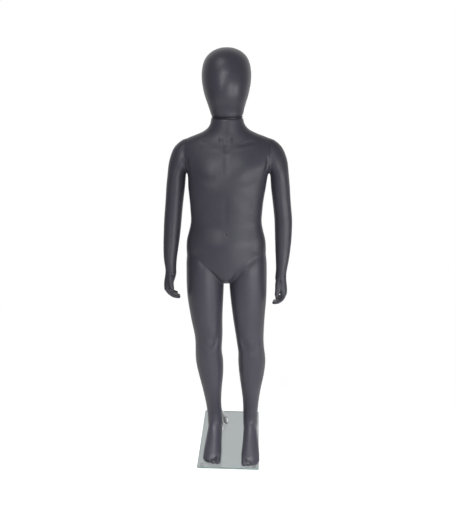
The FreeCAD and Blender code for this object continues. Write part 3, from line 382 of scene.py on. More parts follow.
def between(sections, step):
    """Sections of a smooth curve through the given ones, about a step apart."""
    filled = []
    for i in range(len(sections) - 1):
        before = sections[max(i - 1, 0)]
        start, end = sections[i], sections[i + 1]
        after = sections[min(i + 2, len(sections) - 1)]
        span = end[0] - start[0]
        count = max(1, round(abs(span) / step))
        for k in range(count):
            t = k / count
            row = []
            for a, b, c, d in zip(before, start, end, after):
                slope_in = (c - a) * span / ((end[0] - before[0]) or span)
                slope_out = (d - b) * span / ((after[0] - start[0]) or span)
                row.append(b * (2 * t**3 - 3 * t**2 + 1) + slope_in * (t**3 - 2 * t**2 + t)
                           + c * (3 * t**2 - 2 * t**3) + slope_out * (t**3 - t**2))
            filled.append(tuple(row))
    return filled + [tuple(sections[-1])]


def upright_form(clay, sections):
    """Loft level sections: height, side, front, back, width, fullness."""
    rings = []
    for height, side, front, back, width, fullness in between(sections, RING_SPACING):
        place = Matrix.Translation(at(side, (front + back) / 2, height))
        rings.append(ring(clay, place, width * MM, (back - front) * MM, fullness))
    skin(clay, rings)


def tube(clay, points, radii):
    """Loft a round form along a bent line and round off its end."""
    rings = []
    for number, (point, radius) in enumerate(zip(points, radii)):
        before = points[max(number - 1, 0)]
        after = points[min(number + 1, len(points) - 1)]
        rings.append(ring(clay, facing(point, after - before), radius * 2, radius * 2))
    skin(clay, rings)


print("rings are about", RING_SPACING, "mm apart")

# %% [markdown]
# ### Trunk, neck and head
#
# One loft runs from the crotch to the crown, because the real shells are cast from one
# sculpture and only cut apart later. Each row is height, middle, front, back and width in
# millimetres, and how square the section is. The ribcage is squarer than the neck, and the
# figure carries its hips a little to its right.

# %% Trunk
TRUNK = (
    (599, -6.5, -12, 34, 14, 2.0),
    (603, -6.5, -32, 50, 32, 2.0),
    (611, -6.5, -46, 62, 56, 2.0),
    (624, -7.0, -58, 73, 92, 2.0),
    (642, -7.5, -68, 83, 146, 2.0),
    (664, -7.8, -75, 88, 206, 2.1),
    (688, -8.0, -77, 88, 247, 2.1),
    (712, -7.8, -78, 81, 250, 2.1),
    (744, -7.5, -79, 69, 244, 2.2),
    (766, -7.2, -77, 62, 232, 2.2),
    (800, -6.3, -74, 60, 217, 2.2),
    (834, -5.6, -76, 65, 219, 2.3),
    (868, -4.8, -80, 73, 224, 2.4),
    (910, -3.0, -84, 80, 234, 2.4),
    (944, -0.6, -83.5, 82.5, 239, 2.4),
    (958, -0.3, -82, 82.5, 247, 2.4),
    (980, 0.0, -78, 81, 272, 2.3),
    (1012, 0.0, -67, 75, 292, 2.2),
    (1032, 0.0, -58, 69, 290, 2.1),
    (1045, 0.0, -52, 65, 268, 2.0),
    (1055, 0.0, -50, 62, 222, 2.0),
    (1065, 0.0, -50, 58, 165, 2.0),
    (1076, -0.4, -51, 53, 122, 2.0),
    (1090, -0.8, -52, 47, 100, 2.0),
    (1104, -1.0, -52.5, 44, 93, 2.0),
    (1119, -1.2, -53, 43, 92.5, 2.0),
    (1130, -1.4, -57, 44, 98.5, 2.0),
    (1145, -1.8, -69, 50, 106.5, 2.0),
    (1157, -1.8, -78, 57, 114.5, 2.0),
    (1170, -1.9, -85, 64, 123.5, 2.0),
    (1186, -2.0, -90, 72, 131.5, 2.0),
    (1202, -2.0, -92.5, 79, 137.0, 2.0),
    (1220, -2.0, -92.5, 83.5, 139.8, 2.0),
    (1238, -2.0, -90, 84, 139.0, 2.0),
    (1254, -1.9, -84.5, 80, 133.0, 2.0),
    (1268, -1.8, -76, 72, 123.0, 2.0),
    (1280, -1.6, -64, 61, 105.0, 2.0),
    (1289, -1.5, -50, 46, 82.0, 2.0),
    (1295.5, -1.4, -34, 30, 54.0, 2.0),
    (1299.5, -1.3, -16, 12, 25.0, 2.0),
)

clay = bmesh.new()
upright_form(clay, TRUNK)
print("trunk cage", len(clay.verts), "points")

# %% [markdown]
# ### Arms
#
# Both arms hang a little away from the body and bend slightly at the elbow, and they are not
# quite alike: the right one swings out further. So they share every measure except where the
# middle of each section lies. At the shoulder the loft runs into the trunk, to be merged with
# it.

# %% Arms
ARM = (
    (612, -184.0, 164.6, -38, 4, 35.0),
    (630, -183.0, 164.6, -37, 4, 34.0),
    (648, -183.0, 166.2, -37, 6, 34.5),
    (680, -183.7, 168.2, -36, 14, 41.5),
    (710, -181.6, 169.0, -33, 22, 47.0),
    (742, -178.7, 169.8, -29, 29, 51.3),
    (774, -175.6, 169.6, -26, 33, 53.5),
    (806, -172.6, 168.6, -25, 35, 54.5),
    (864, -165.3, 162.0, -28, 36, 55.0),
    (905, -160.0, 157.5, -32, 38, 57.0),
    (936, -156.0, 154.6, -35, 41, 56.0),
    (954, -153.0, 152.0, -36.5, 42.5, 57.0),
    (968, -147.0, 146.5, -37.5, 43.5, 65.0),
    (982, -140.0, 140.0, -38, 45, 74.0),
    (1012, -128.5, 128.5, -36, 44, 77.0),
    (1028, -124.0, 124.0, -31, 39, 69.0),
    (1044, -119.5, 119.5, -20, 28, 40.0),
    (1050, -118.0, 118.0, -9, 17, 20.0),
)


def limb_sections(rows, which):
    """Pick one side's middles out of a table that holds both."""
    return [(row[0], row[which], *row[3:], OVAL) for row in rows]


RIGHT, LEFT = 1, 2
for which in (RIGHT, LEFT):
    upright_form(clay, limb_sections(ARM, which))
print("with arms", len(clay.verts), "points")

# %% [markdown]
# ### Legs and feet
#
# A leg is lofted upright from the sole to the hip, and its table reads as the arm's does. A
# foot's sections run from heel to toe: how far back, how far outward, width and height. A toe
# has a root and a tip, outward and back, then its radius and the height of its middle.

# %% Leg and foot measures
LEG = (
    (-6, -53.7, 71.8, -14, 34, 40),
    (40, -53.4, 71.8, -20, 39, 48),
    (68, -53.2, 71.9, -25, 38, 50.5),
    (86, -53.9, 72.0, -22.5, 38, 50.5),
    (106, -54.8, 72.0, -20.5, 38, 51),
    (150, -58.0, 73.0, -24, 43, 55.5),
    (206, -61.4, 73.6, -33, 51, 68.5),
    (246, -63.5, 74.9, -38, 57, 81),
    (286, -66.6, 75.5, -42, 59, 90),
    (318, -68.6, 75.4, -45, 55, 92),
    (346, -69.8, 74.4, -49, 47, 88.5),
    (376, -68.7, 70.8, -52, 44, 88.5),
    (410, -68.2, 68.1, -56, 47, 92),
    (478, -73.3, 64.6, -64, 56, 103.5),
    (546, -76.0, 63.0, -69, 66, 115.5),
    (592, -76.0, 61.4, -71, 75, 119.5),
    (636, -75.7, 60.9, -71, 87, 120),
    (666, -75.3, 60.3, -70, 86, 119.5),
    (692, -73.5, 58.5, -64, 78, 117),
    (716, -69.0, 54.0, -54, 64, 105),
    (738, -62.0, 47.0, -38, 46, 78),
    (750, -58.0, 43.0, -22, 30, 44),
)
FOOT = (
    (52, 0, 12, 16),
    (50, 0, 28, 28),
    (45, 0, 38, 40),
    (36, 0, 44, 51),
    (14, 0, 48, 66),
    (-8, 0.5, 50, 75),
    (-24, 1, 51, 76),
    (-40, 1.5, 53, 65),
    (-58, 2, 56, 52.5),
    (-80, 2, 59, 41),
    (-102, 2, 61, 32.5),
    (-120, 1.5, 60, 25.5),
    (-132, 0.5, 55, 19.5),
    (-139, -0.5, 44, 12),
)
TOES = (
    ((-16.0, -100), (-18.5, -152.5), 10.2, 9.8),
    ((-2.0, -100), (-3.5, -151.0), 7.8, 7.8),
    ((8.0, -98), (8.5, -146.5), 7.2, 7.4),
    ((17.5, -96), (18.5, -139.5), 6.8, 7.0),
    ((25.0, -92), (26.5, -130.5), 6.4, 6.6),
)
print(len(LEG), "sections of the leg,", len(FOOT), "of the foot")

# %% [markdown]
# ### Feet and toes
#
# The foot's loft is pushed into the leg's, and five short bars with round tips make the toes. The
# foot's underside goes below the sole here and is sliced flat later, which gives a cleaner
# edge than modelling it flat.

# %% Legs, feet and toes
FOOT_BACK = {RIGHT: 5.0, LEFT: -1.0}
FOOT_SIDE = {RIGHT: -53.2, LEFT: 71.9}
OUTWARD = {RIGHT: -1, LEFT: 1}
FLAT_BELOW = 0.45
SQUARISH = 2.2
FOOT_SPACING = 8.0
TOE_RISE = 4
TOE_BAR = ((0.0, 0.8), (0.4, 0.95), (0.75, 1.0), (1.0, 1.0))
TOE_TIP = ((0.5, 0.87), (0.8, 0.6), (0.97, 0.25))


def foot_place(which, shift, back, height):
    """A place on a foot: outward from its middle, back from its own zero, and up."""
    return at(FOOT_SIDE[which] + OUTWARD[which] * shift, back + FOOT_BACK[which], height)


def foot_form(clay, which):
    """Loft a foot from heel to toe; its lower part is under the sole."""
    rings = []
    level = Matrix.Rotation(math.radians(90), 4, "X")
    for back, shift, width, height in between(FOOT, FOOT_SPACING):
        middle = height * (1.0 - FLAT_BELOW) / 2
        place = Matrix.Translation(foot_place(which, shift, back, middle)) @ level
        rings.append(ring(clay, place, width * MM, height * (1 + FLAT_BELOW) * MM, SQUARISH))
    skin(clay, rings)


def toe_forms(clay, which):
    """Five toes, each a round bar with a rounded tip."""
    for root, tip, radius, height in TOES:
        start = foot_place(which, *root, height + TOE_RISE)
        end = foot_place(which, tip[0], tip[1] + radius, height)
        along = (end - start).normalized()
        points = [start.lerp(end, share) for share, _ in TOE_BAR]
        points += [end + along * (radius * MM * share) for share, _ in TOE_TIP]
        tube(clay, points, [radius * MM * swell for _, swell in TOE_BAR + TOE_TIP])


for which in (RIGHT, LEFT):
    upright_form(clay, limb_sections(LEG, which))
    foot_form(clay, which)
    toe_forms(clay, which)
bmesh.ops.recalc_face_normals(clay, faces=clay.faces)
print("with legs and feet", len(clay.verts), "points")

# %% [markdown]
# ## Merging the clay
#
# Voxel remeshing is made for this moment: it fuses lumps that overlap into one skin of even
# little squares, as pressed clay fuses. Subdivision goes first, so that the voxels sample a
# smooth form, and a few rounds of smoothing after it take off the voxels' faint steps. Both
# are modifiers on a throwaway object, and the result is read back as a mesh.

# %% Merge
VOXEL = 0.0022


def mesh_of(name, body):
    """Turn a bmesh into a mesh and free it."""
    mesh = bpy.data.meshes.new(name)
    body.to_mesh(mesh)
    body.free()
    return mesh


def settled(made):
    """The mesh that an object's modifiers make of it."""
    graph = bpy.context.evaluated_depsgraph_get()
    return bpy.data.meshes.new_from_object(made.evaluated_get(graph))


def merged(cage, voxel, rounds):
    """The cage subdivided, fused into one skin and lightly smoothed, as a new bmesh."""
    lump = placed("cage", mesh_of("cage", cage))
    subdivide = lump.modifiers.new("round", "SUBSURF")
    subdivide.levels = subdivide.render_levels = 2
    fuse = lump.modifiers.new("fuse", "REMESH")
    fuse.mode = "VOXEL"
    fuse.voxel_size = voxel
    fused = settled(lump)
    body = bmesh.new()
    body.from_mesh(fused)
    for mesh in (fused, lump.data):
        bpy.data.meshes.remove(mesh)
    for _ in range(rounds):
        smooth(body, body.verts)
    return body


def smooth(body, verts):
    """One round of plain smoothing."""
    bmesh.ops.smooth_vert(body, verts=verts[:], factor=0.5, use_axis_x=True,
                          use_axis_y=True, use_axis_z=True)


figure = merged(clay, VOXEL, rounds=4)
print("figure skin", len(figure.verts), "points,", len(figure.faces), "faces")

# %% [markdown]
# ## Modelling tools
#
# Three tools do all the sculpting. A stroke drags a round thumb along a line on the skin and
# presses it in or draws it out along the skin's own normals. A swell raises or sinks an oval
# patch, as for a kneecap. Softening smooths what lies within a ball. Strokes and swells find
# their place by shooting a ray at the skin from the front, the back, a side or above, so a
# feature is given by two numbers as on a drawing. A search tree hands over the few points
# within reach, which keeps the work quick on a large mesh.

# %% Sculpting tools
VIEWS = {
    "front": (Vector((0, -1, 0)), lambda a, b: at(a, 0, b), 0.6),
    "back": (Vector((0, 1, 0)), lambda a, b: at(a, 0, b), 0.6),
    "above": (Vector((0, 0, 1)), lambda a, b: at(a, b, 0), 0.12),
    "left": (Vector((1, 0, 0)), lambda a, b: at(0, a, b), 0.6),
    "right": (Vector((-1, 0, 0)), lambda a, b: at(0, a, b), 0.6),
}
STROKE_STEP = 0.3
TURNED_AWAY = -0.2
DEPTH_MARGIN = 1.4
BALL_START, BALL_SHRINK = 1.15, 0.45


class Sculpt:
    """A skin with its search trees, and the tools that model it."""

    def __init__(self, body):
        self.body = body
        self.look()

    def look(self):
        """Take in the skin as it is now."""
        self.body.normal_update()
        self.body.verts.ensure_lookup_table()
        self.tree = KDTree(len(self.body.verts))
        for vert in self.body.verts:
            self.tree.insert(vert.co, vert.index)
        self.tree.balance()
        self.surface = BVHTree.FromBMesh(self.body)

    def touch(self, view, a, b):
        """Where a ray from that side meets the skin."""
        direction, place, far = VIEWS[view]
        start = place(a, b) + direction * far
        hit = self.surface.ray_cast(start, -direction)[0]
        return hit if hit is not None else place(a, b)

    def stroke(self, view, points, width, depth, fade=0.3):
        """Press a line of the given width and depth; a negative depth raises it."""
        samples = []
        for (a, b), (c, d) in zip(points, points[1:]):
            count = max(2, int(math.hypot(c - a, d - b) / (width * STROKE_STEP)))
            samples += [(a + (c - a) * k / count, b + (d - b) * k / count)
                        for k in range(count)]
        samples.append(points[-1])
        nearest = {}
        for number, (a, b) in enumerate(samples):
            along = number / (len(samples) - 1)
            end = min(1.0, min(along, 1.0 - along) / fade) if fade else 1.0
            strength = end * end * (3 - 2 * end)
            for _, index, distance in self.tree.find_range(self.touch(view, a, b), width * MM):
                fall = (1.0 - (distance / (width * MM)) ** 2) ** 2 * strength
                if fall > nearest.get(index, 0.0):
                    nearest[index] = fall
        for index, fall in nearest.items():
            vert = self.body.verts[index]
            vert.co = vert.co - vert.normal * (depth * MM * fall)

    def swell(self, view, a, b, across, up, height):
        """Raise an oval patch; a negative height sinks it."""
        centre = self.touch(view, a, b)
        direction = VIEWS[view][0]
        upward = Vector((0, 1, 0)) if view == "above" else Vector((0, 0, 1))
        sideways = direction.cross(upward)
        reach = max(across, up) * MM * DEPTH_MARGIN
        for co, index, _ in self.tree.find_range(centre, reach):
            vert = self.body.verts[index]
            if vert.normal.dot(direction) < TURNED_AWAY:
                continue
            offset = vert.co - centre
            far = ((offset.dot(sideways) / (across * MM)) ** 2
                   + (offset.dot(upward) / (up * MM)) ** 2)
            if far < 1.0:
                vert.co = vert.co + vert.normal * (height * MM * (1.0 - far) ** 2)

    def soften(self, centre, radius, rounds):
        """Smooth what lies within a ball, which shrinks as it goes and so leaves no edge."""
        near = self.tree.find_range(centre, radius * BALL_START * MM)
        for count in range(rounds):
            reach = radius * MM * (BALL_START - BALL_SHRINK * count / rounds)
            smooth(self.body, [self.body.verts[index] for _, index, far in near if far < reach])


sculpt = Sculpt(figure)
print("tools ready")

# %% [markdown]
# ### Joints of the clay
#
# Where limbs were pushed into the trunk the skin has a hard valley. The real figure has one
# soft form there, so armpits, groin, hips and ankles are smoothed first, each as far as its
# own roundness reaches.

# %% Soften the junctions
for side in (-1, 1):
    sculpt.soften(at(side * 124, 4, 1010), 52, 14)
    sculpt.soften(at(side * 122, 4, 955), 26, 6)
for side in (-75, 60):
    sculpt.soften(at(side, 0, 715), 95, 36)
    sculpt.soften(at(side, 70, 660), 50, 10)
    sculpt.soften(at(side, -60, 660), 50, 16)
sculpt.soften(at(-7, 0, 610), 44, 12)
for which in (RIGHT, LEFT):
    sculpt.soften(at(FOOT_SIDE[which], -40 + FOOT_BACK[which], 84), 44, 90)
    sculpt.soften(at(FOOT_SIDE[which], -10 + FOOT_BACK[which], 60), 40, 20)
    sculpt.soften(at(FOOT_SIDE[which], 36 + FOOT_BACK[which], 56), 32, 40)
sculpt.look()
print("softened", len(figure.verts), "points")

# %% [markdown]
# ### Chest, neck and shoulders
#
# Features of a child's body are shallow, two to five millimetres, but they are what the light
# finds: the notch between the collarbones with a cord of the neck to each side, the
# collarbones themselves with the hollow above them, a soft breast muscle each side of the
# breastbone, and the fold where the arm meets the chest.

# %% Upper body
for side, deep in ((-1, 0.4), (1, 1.7)):
    sculpt.stroke("front", [(side * 30, 1035), (side * 54, 1041.6), (side * 84, 1048)], 9, deep)
    sculpt.stroke("front", [(side * 12, 1028), (side * 40, 1029), (side * 84, 1038)], 12, -0.9)
    sculpt.swell("front", side * 50, 985, 50, 44, 2.4)
    sculpt.stroke("front", [(side * 22, 944), (side * 52, 938), (side * 84, 950),
                            (side * 104, 970)], 20, 1.0)
    sculpt.stroke("front", [(side * 110, 958), (side * 117, 980), (side * 119, 1004)], 11, 2.6)
    sculpt.swell("front", side * 140, 1000, 26, 42, 2.0)
    sculpt.stroke("back", [(side * 34, 1000), (side * 40, 960), (side * 58, 930)], 16, 1.6)
    sculpt.swell("back", side * 66, 968, 34, 40, 2.8)
    sculpt.stroke("back", [(side * 112, 962), (side * 118, 985), (side * 119, 1006)], 10, 2.0)
for side, tall, high in ((-16, 12, 2.5), (-3, 9, 1.5), (9.5, 13, 2.7)):
    sculpt.swell("front", side, 1050, 7.5, tall, high)
sculpt.soften(at(-3, -52, 1050), 26, 3)
sculpt.stroke("front", [(-1, 1036), (-1, 1024)], 12, 1.6, 0)
sculpt.stroke("front", [(0, 1024), (1, 990), (1, 950)], 13, 1.1)
sculpt.look()
print("chest and shoulders modelled")

# %% [markdown]
# ### The groin seams
#
# The torso is parted from each leg along a sloping plane that comes out at the front just
# where a groin crease runs. The plane is needed twice: here, to lay the creases on it, and
# later, to cut. A crease point is found by stepping between the skin and the plane until they
# agree.

# %% Groin seams
GROIN_SPLIT = (-7.0, 594.0)
GROIN_HALF_WIDTH = 8.5
GROIN_SLOPE = math.radians(46.5)
GROIN_TILT = math.radians(17.0)
FIRST_GUESS = 640.0


def groin_plane(out):
    """A point on one groin seam and its upward normal."""
    place = at(GROIN_SPLIT[0] + out * GROIN_HALF_WIDTH, 0, GROIN_SPLIT[1])
    normal = Vector((-out * math.sin(GROIN_SLOPE), 0, math.cos(GROIN_SLOPE)))
    return place, Matrix.Rotation(-GROIN_TILT, 3, "X") @ normal


def on_seam(out, side, view):
    """Where a groin seam crosses the skin at this place across, as side and height."""
    place, normal = groin_plane(out)
    height = FIRST_GUESS
    for _ in range(4):
        point = sculpt.touch(view, side, height)
        level = (normal.x * (point.x - place.x) + normal.y * (point.y - place.y)) / normal.z
        height = (place.z - level - SOLE) / MM
    return side, height


print("right seam comes out at", [round(on_seam(-1, side, "front")[1]) for side in (-21, -48)])

# %% [markdown]
# ### Belly, hips and back
#
# The belly is one soft dome over a shallow navel, and it ends in the two groin lines, which
# are the deepest creases on the figure. Behind, a groove follows the spine down to the cleft,
# and a fold closes each buttock.

# %% Lower body
for side in (-1, 1):
    sculpt.stroke("front", [(side * 34 - 6, 900), (side * 62 - 5, 872), (side * 84 - 5, 840)],
                  26, 0.9)
    sculpt.swell("front", side * 100 - 8, 722, 24, 20, 1.2)
sculpt.stroke("front", [(-3, 900), (-5, 850), (-6, 800)], 15, 0.8)
sculpt.swell("front", -7, 735, 70, 66, 3.0)
sculpt.swell("front", -4.3, 775, 5.5, 6.5, -2.2)
for out, reach, width, deep in ((-1, 96, 9, 3.0), (1, 108, 14, 2.2)):
    sides = [-7 + out * far for far in range(9, reach, 12)]
    sculpt.stroke("front", [on_seam(out, side, "front") for side in sides], width, deep, 0.45)
    sculpt.stroke("back", [on_seam(out, side, "back") for side in sides], width, 1.0, 0.45)
sculpt.swell("front", -6.5, 636, 32, 30, 2.6)
sculpt.stroke("back", [(-1, 1030), (-2, 960), (-4, 880), (-6, 800), (-7, 740)], 14, 2.4)
sculpt.stroke("back", [(-7, 724), (-7.5, 690), (-7, 650), (-7, 616)], 17, 5.0, 0.4)
for side in (-72, 58):
    sculpt.swell("back", side, 660, 50, 48, 2.4)
    inner = side + (22 if side < 0 else -22)
    outer = side + (-36 if side < 0 else 36)
    sculpt.stroke("back", [(inner, 606), (side, 602), (outer, 612)], 16, 2.2, 0.4)
    sculpt.swell("back", side * 0.55 - 3, 742, 14, 14, -1.2)
sculpt.look()
print("belly, hips and back modelled")

# %% [markdown]
# ### Knees, shins and ankles
#
# The kneecap is a small raised shield with a hollow to each side and a bulge of fat below it.
# The shin has a soft ridge, the calf two heads behind, and the ankle a knob on each side, the
# inner one higher. A ridge runs down the instep to the big toe.

# %% Knees, shins and ankles
for which in (RIGHT, LEFT):
    out = OUTWARD[which]
    knee = -66.0 if which == RIGHT else 73.0
    shin = -62.0 if which == RIGHT else 72.0
    foot = FOOT_SIDE[which]
    back = FOOT_BACK[which]
    sculpt.swell("front", knee, 403, 22, 25, 2.8)
    sculpt.stroke("front", [(knee - out * 21, 428), (knee - out * 25, 400),
                            (knee - out * 15, 376)], 13, 2.4)
    sculpt.stroke("front", [(knee + out * 21, 424), (knee + out * 24, 402),
                            (knee + out * 14, 380)], 13, 1.4)
    sculpt.stroke("front", [(knee - 11, 380), (knee, 376), (knee + 11, 380)], 10, 1.2)
    sculpt.swell("front", knee, 357, 14, 17, 1.4)
    sculpt.swell("front", knee - out * 17, 448, 20, 36, 2.2)
    sculpt.stroke("front", [(knee, 345), (shin - out * 4, 280), (shin - out * 5, 200),
                            (foot - out * 2, 120)], 14, -1.2)
    sculpt.stroke("back", [(knee, 420), (knee, 380), (knee, 355)], 20, 2.6)
    sculpt.stroke("back", [(shin, 300), (shin, 262), (foot + out * 2, 225)], 12, 1.2)
    sculpt.swell("back", shin - out * 16, 285, 22, 48, 2.2)
    sculpt.swell("back", shin + out * 17, 292, 20, 44, 1.8)
    sculpt.stroke("back", [(foot + 1, 150), (foot, 100), (foot, 55)], 12, -2.0)
    sculpt.swell("left" if out > 0 else "right", 6 + back, 62, 14, 15, 1.3)
    sculpt.stroke("above", [(foot - out * 3, -32 + back), (foot - out * 6, -66 + back),
                            (foot - out * 11, -112 + back)], 19, -2.2, 0.5)
print("legs modelled")

# %% [markdown]
# ### Slicing the figure into its shells
#
# The real shells are cut from one sculpture, and so are these. bisect_plane cuts a copy of the
# skin, and the part that belongs to the piece is kept. Points that lie within a hair of the
# plane are laid onto it first, or the cut would leave slivers beside them.

# %% Slicing tools
SNAP = 0.0005


def only(kind, items):
    """The vertices, edges or faces among mixed geometry."""
    return [item for item in items if isinstance(item, kind)]


def cut(body, place, normal, above=None):
    """Remove what lies on the normal's side of a plane; returns the rim of the cut."""
    faces = [f for f in body.faces if above is None or f.calc_center_median().z > above]
    verts = {v for f in faces for v in f.verts}
    for vert in verts:
        off = (vert.co - place).dot(normal)
        if abs(off) < SNAP:
            vert.co = vert.co - normal * off
    geometry = list(verts) + list({e for f in faces for e in f.edges}) + faces
    made = bmesh.ops.bisect_plane(body, geom=geometry, plane_co=place, plane_no=normal,
                                  clear_outer=True, dist=1e-6)
    return only(bmesh.types.BMEdge, made["geom_cut"])


def keep_island(body, seed):
    """Delete everything that does not hang together with the seed vertex."""
    kept = {seed}
    front = [seed]
    while front:
        for edge in front.pop().link_edges:
            new = set(edge.verts) - kept
            kept |= new
            front += new
    loose = [vert for vert in body.verts if vert not in kept]
    bmesh.ops.delete(body, geom=loose, context="VERTS")


print("points within", SNAP / MM, "mm of a cut are laid onto it")

# %% [markdown]
# ### Closing a cut
#
# Each cut is filled flat. Where a fitting is let into the face, the fill leaves a round hole
# open, and the recess steps inward from there with extrude_edge_only. The rim of the cut is
# marked sharp, or gets a narrow bevel where the parting line shows, because it is the bevel
# that catches the light beside the dark gap.

# %% Closing tools
def extruded(body, loop):
    """Extrude a loop of edges; returns the new vertices, faces and loop."""
    made = bmesh.ops.extrude_edge_only(body, edges=loop)["geom"]
    verts = only(bmesh.types.BMVert, made)
    ends = [e for e in only(bmesh.types.BMEdge, made) if all(v in verts for v in e.verts)]
    return verts, only(bmesh.types.BMFace, made), ends


def filled(body, loop):
    """Fill between the edges of one or more loops in a plane; returns the faces."""
    made = bmesh.ops.triangle_fill(body, edges=loop, use_beauty=True)["geom"]
    return only(bmesh.types.BMFace, made)


def sink(body, hole, centre, axis, steps):
    """Step a round recess inward from its hole and close its floor."""
    faces = []
    radius = steps[0][0]
    for number, (wide, deep) in enumerate(steps):
        if number:
            verts, made, hole = extruded(body, hole)
            faces += made
            for vert in verts:
                offset = vert.co - centre
                along = axis * offset.dot(axis)
                vert.co = centre + along + (offset - along) * (wide / radius)
        radius = wide
        verts, made, hole = extruded(body, hole)
        faces += made
        bmesh.ops.translate(body, verts=verts, vec=axis * -deep)
    return faces + filled(body, hole)


def close(body, rim, recess=None):
    """Fill a cut flat. A recess is a centre, an axis and a list of (radius, depth) steps."""
    rim = [edge for edge in rim if edge.is_valid and edge.is_boundary]
    if recess:
        centre, axis, steps = recess
        circle = bmesh.ops.create_circle(body, segments=64, radius=steps[0][0],
                                         matrix=facing(centre, axis))["verts"]
        hole = list({edge for vert in circle for edge in vert.link_edges})
        caps = filled(body, rim + hole) + sink(body, hole, *recess)
    else:
        caps = filled(body, rim)
    for face in caps:
        face.smooth = False


def ease(body, rim, size=0.0):
    """Round a parting edge over a little, or only mark it sharp where size is 0."""
    rim = [edge for edge in rim if edge.is_valid]
    if size:
        bmesh.ops.bevel(body, geom=rim, offset=size, segments=2, profile=0.5,
                        affect="EDGES", clamp_overlap=True, material=-1)
    else:
        for edge in rim:
            edge.smooth = False


print("closing tools ready")

# %% [markdown]
# ### Grooves and soles
#
# What all shells share is done before the first is cut off: the two grooves beside the neck
# ring, smooth shading, and the soles, which are sliced flat where they stand on the glass.

# %% Grooves and soles
NECK_SEAM = 1108.0
NECK_CAP = 11.0


def groove(body, height, half_width, depth):
    """Turn a shallow round-edged groove into the neck at a height."""
    level = at(0, 0, height).z
    for vert in [v for v in body.verts if abs(v.co.z - level) < half_width * MM]:
        share = 1.0 - abs(vert.co.z - level) / (half_width * MM)
        inward = Vector((vert.normal.x, vert.normal.y, 0.0))
        vert.co = vert.co - inward * (depth * MM * share ** 1.5)


figure.normal_update()
groove(figure, NECK_SEAM + 0.2, 3.6, 0.9)
groove(figure, NECK_SEAM + NECK_CAP, 3.0, 0.8)
for face in figure.faces:
    face.smooth = True
soles = cut(figure, at(0, 0, 0), DOWN)
close(figure, soles)
ease(figure, soles)
print("soles are flat at", round(SOLE, 4), "m")

# %% [markdown]
# ### Head and neck ring
#
# The head lifts off above a narrow turned ring that belongs to it. The lower parting line is
# open by a hair, so that the head can turn. Like a pulley, the ring is hollow to each side of
# one thin lip, so it shows as two dark bands with a bright line between them; its darker coat
# adds painted shade to those bands. bisect_plane lays an edge loop at each height of the
# profile, and each loop is then drawn inward.

# %% Head and neck ring
PARTING = 0.4
EDGE = 0.6 * MM
RING_PROFILE = ((0.4, 2.6), (2.6, 2.8), (3.5, 0.7), (4.6, 0.5), (5.5, 3.2), (10.9, 0.8))


def inset_at(height, profile):
    """How far a turned profile is drawn in at a height, both in millimetres."""
    for (low, near), (high, far) in zip(profile, profile[1:]):
        if height <= high:
            return near + (far - near) * max(0.0, height - low) / (high - low)
    return profile[-1][1]


def turned(body, profile):
    """Turn a band of the neck to a profile of height above the seam and inset."""
    for height, _ in profile:
        made = bmesh.ops.bisect_plane(body, geom=body.verts[:] + body.edges[:] + body.faces[:],
                                      plane_co=at(0, 0, NECK_SEAM + height), plane_no=UP,
                                      dist=1e-6)
        ease(body, only(bmesh.types.BMEdge, made["geom_cut"]))
    body.normal_update()
    inward = {vert: -Vector((vert.normal.x, vert.normal.y, 0.0)).normalized()
              for vert in body.verts}
    for vert, way in inward.items():
        height = (vert.co.z - SOLE) / MM - NECK_SEAM
        vert.co = vert.co + way * (inset_at(height, profile) * MM)


def piece(name, body, rides, replaced, finish=SKIN):
    """Turn a finished bmesh into an object of the figure."""
    body.normal_update()
    made = placed(name, mesh_of(name, body))
    made.data.materials.append(finish)
    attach(made, rides)
    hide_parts(*replaced)
    print(name, len(made.data.vertices), "points,", len(made.data.polygons), "faces")
    return made


head = figure.copy()
rim = cut(head, at(0, 0, NECK_SEAM + NECK_CAP), DOWN)
close(head, rim)
ease(head, rim, EDGE)
piece("head", head, "head", ["head_shell"], HEAD_COAT)

neck_ring = figure.copy()
low = cut(neck_ring, at(0, 0, NECK_SEAM + RING_PROFILE[0][0]), DOWN)
high = cut(neck_ring, at(0, 0, NECK_SEAM + RING_PROFILE[-1][0]), UP)
turned(neck_ring, RING_PROFILE)
close(neck_ring, low)
close(neck_ring, high)
# The ring's darker coat is painted shade for its grooves.
piece("neck_ring", neck_ring, "head", ["neck_cap"], RING_SHADE_COAT)

# %% [markdown]
# ### Arm shells
#
# An arm parts from the torso at a flat upright face, and from its hand at a level one. Cutting
# by the upright plane also catches the hip, which is as wide as the shoulder, so only the part
# that hangs together with the shoulder's highest point is kept.

# %% Arm shells
SHOULDER_FACE = 122.0
SHOULDER_AXIS = (4.0, 1005.0)
SHOULDER_DISC = (27.1 * MM, 3.1 * MM)
WRIST_BUSH = (10.1 * MM, 2.1 * MM)
WRIST = {RIGHT: 640.0, LEFT: 630.0}
WORD = {RIGHT: "right", LEFT: "left"}


def wrist_middle(which):
    """Where the wrist's peg comes out of the arm."""
    low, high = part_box(WORD[which] + "_wrist_pin")
    return Vector(((low.x + high.x) / 2, (low.y + high.y) / 2, SOLE + WRIST[which] * MM))


for which in (RIGHT, LEFT):
    arm = figure.copy()
    out = OUTWARD[which]
    inward = Vector((-out, 0, 0))
    seam = at(out * (SHOULDER_FACE + PARTING / 2), *SHOULDER_AXIS)
    shoulder = cut(arm, seam, inward)
    wrist = cut(arm, wrist_middle(which), DOWN)
    keep_island(arm, max(arm.verts, key=lambda vert: vert.co.z))
    close(arm, shoulder, (seam, inward, [SHOULDER_DISC]))
    close(arm, wrist, (wrist_middle(which), DOWN, [WRIST_BUSH]))
    ease(arm, shoulder + wrist, EDGE)
    name = WORD[which] + "_arm"
    piece(name, arm, name, [name + "_shell"])

# %% [markdown]
# ### Torso shell
#
# The torso is what remains between both shoulder faces, under the neck's parting line and
# above the two groin seams. Below the armpits the shoulder planes must not cut, so bisect_plane
# gets only the geometry above that height; what is left of the arms is then loose and goes.

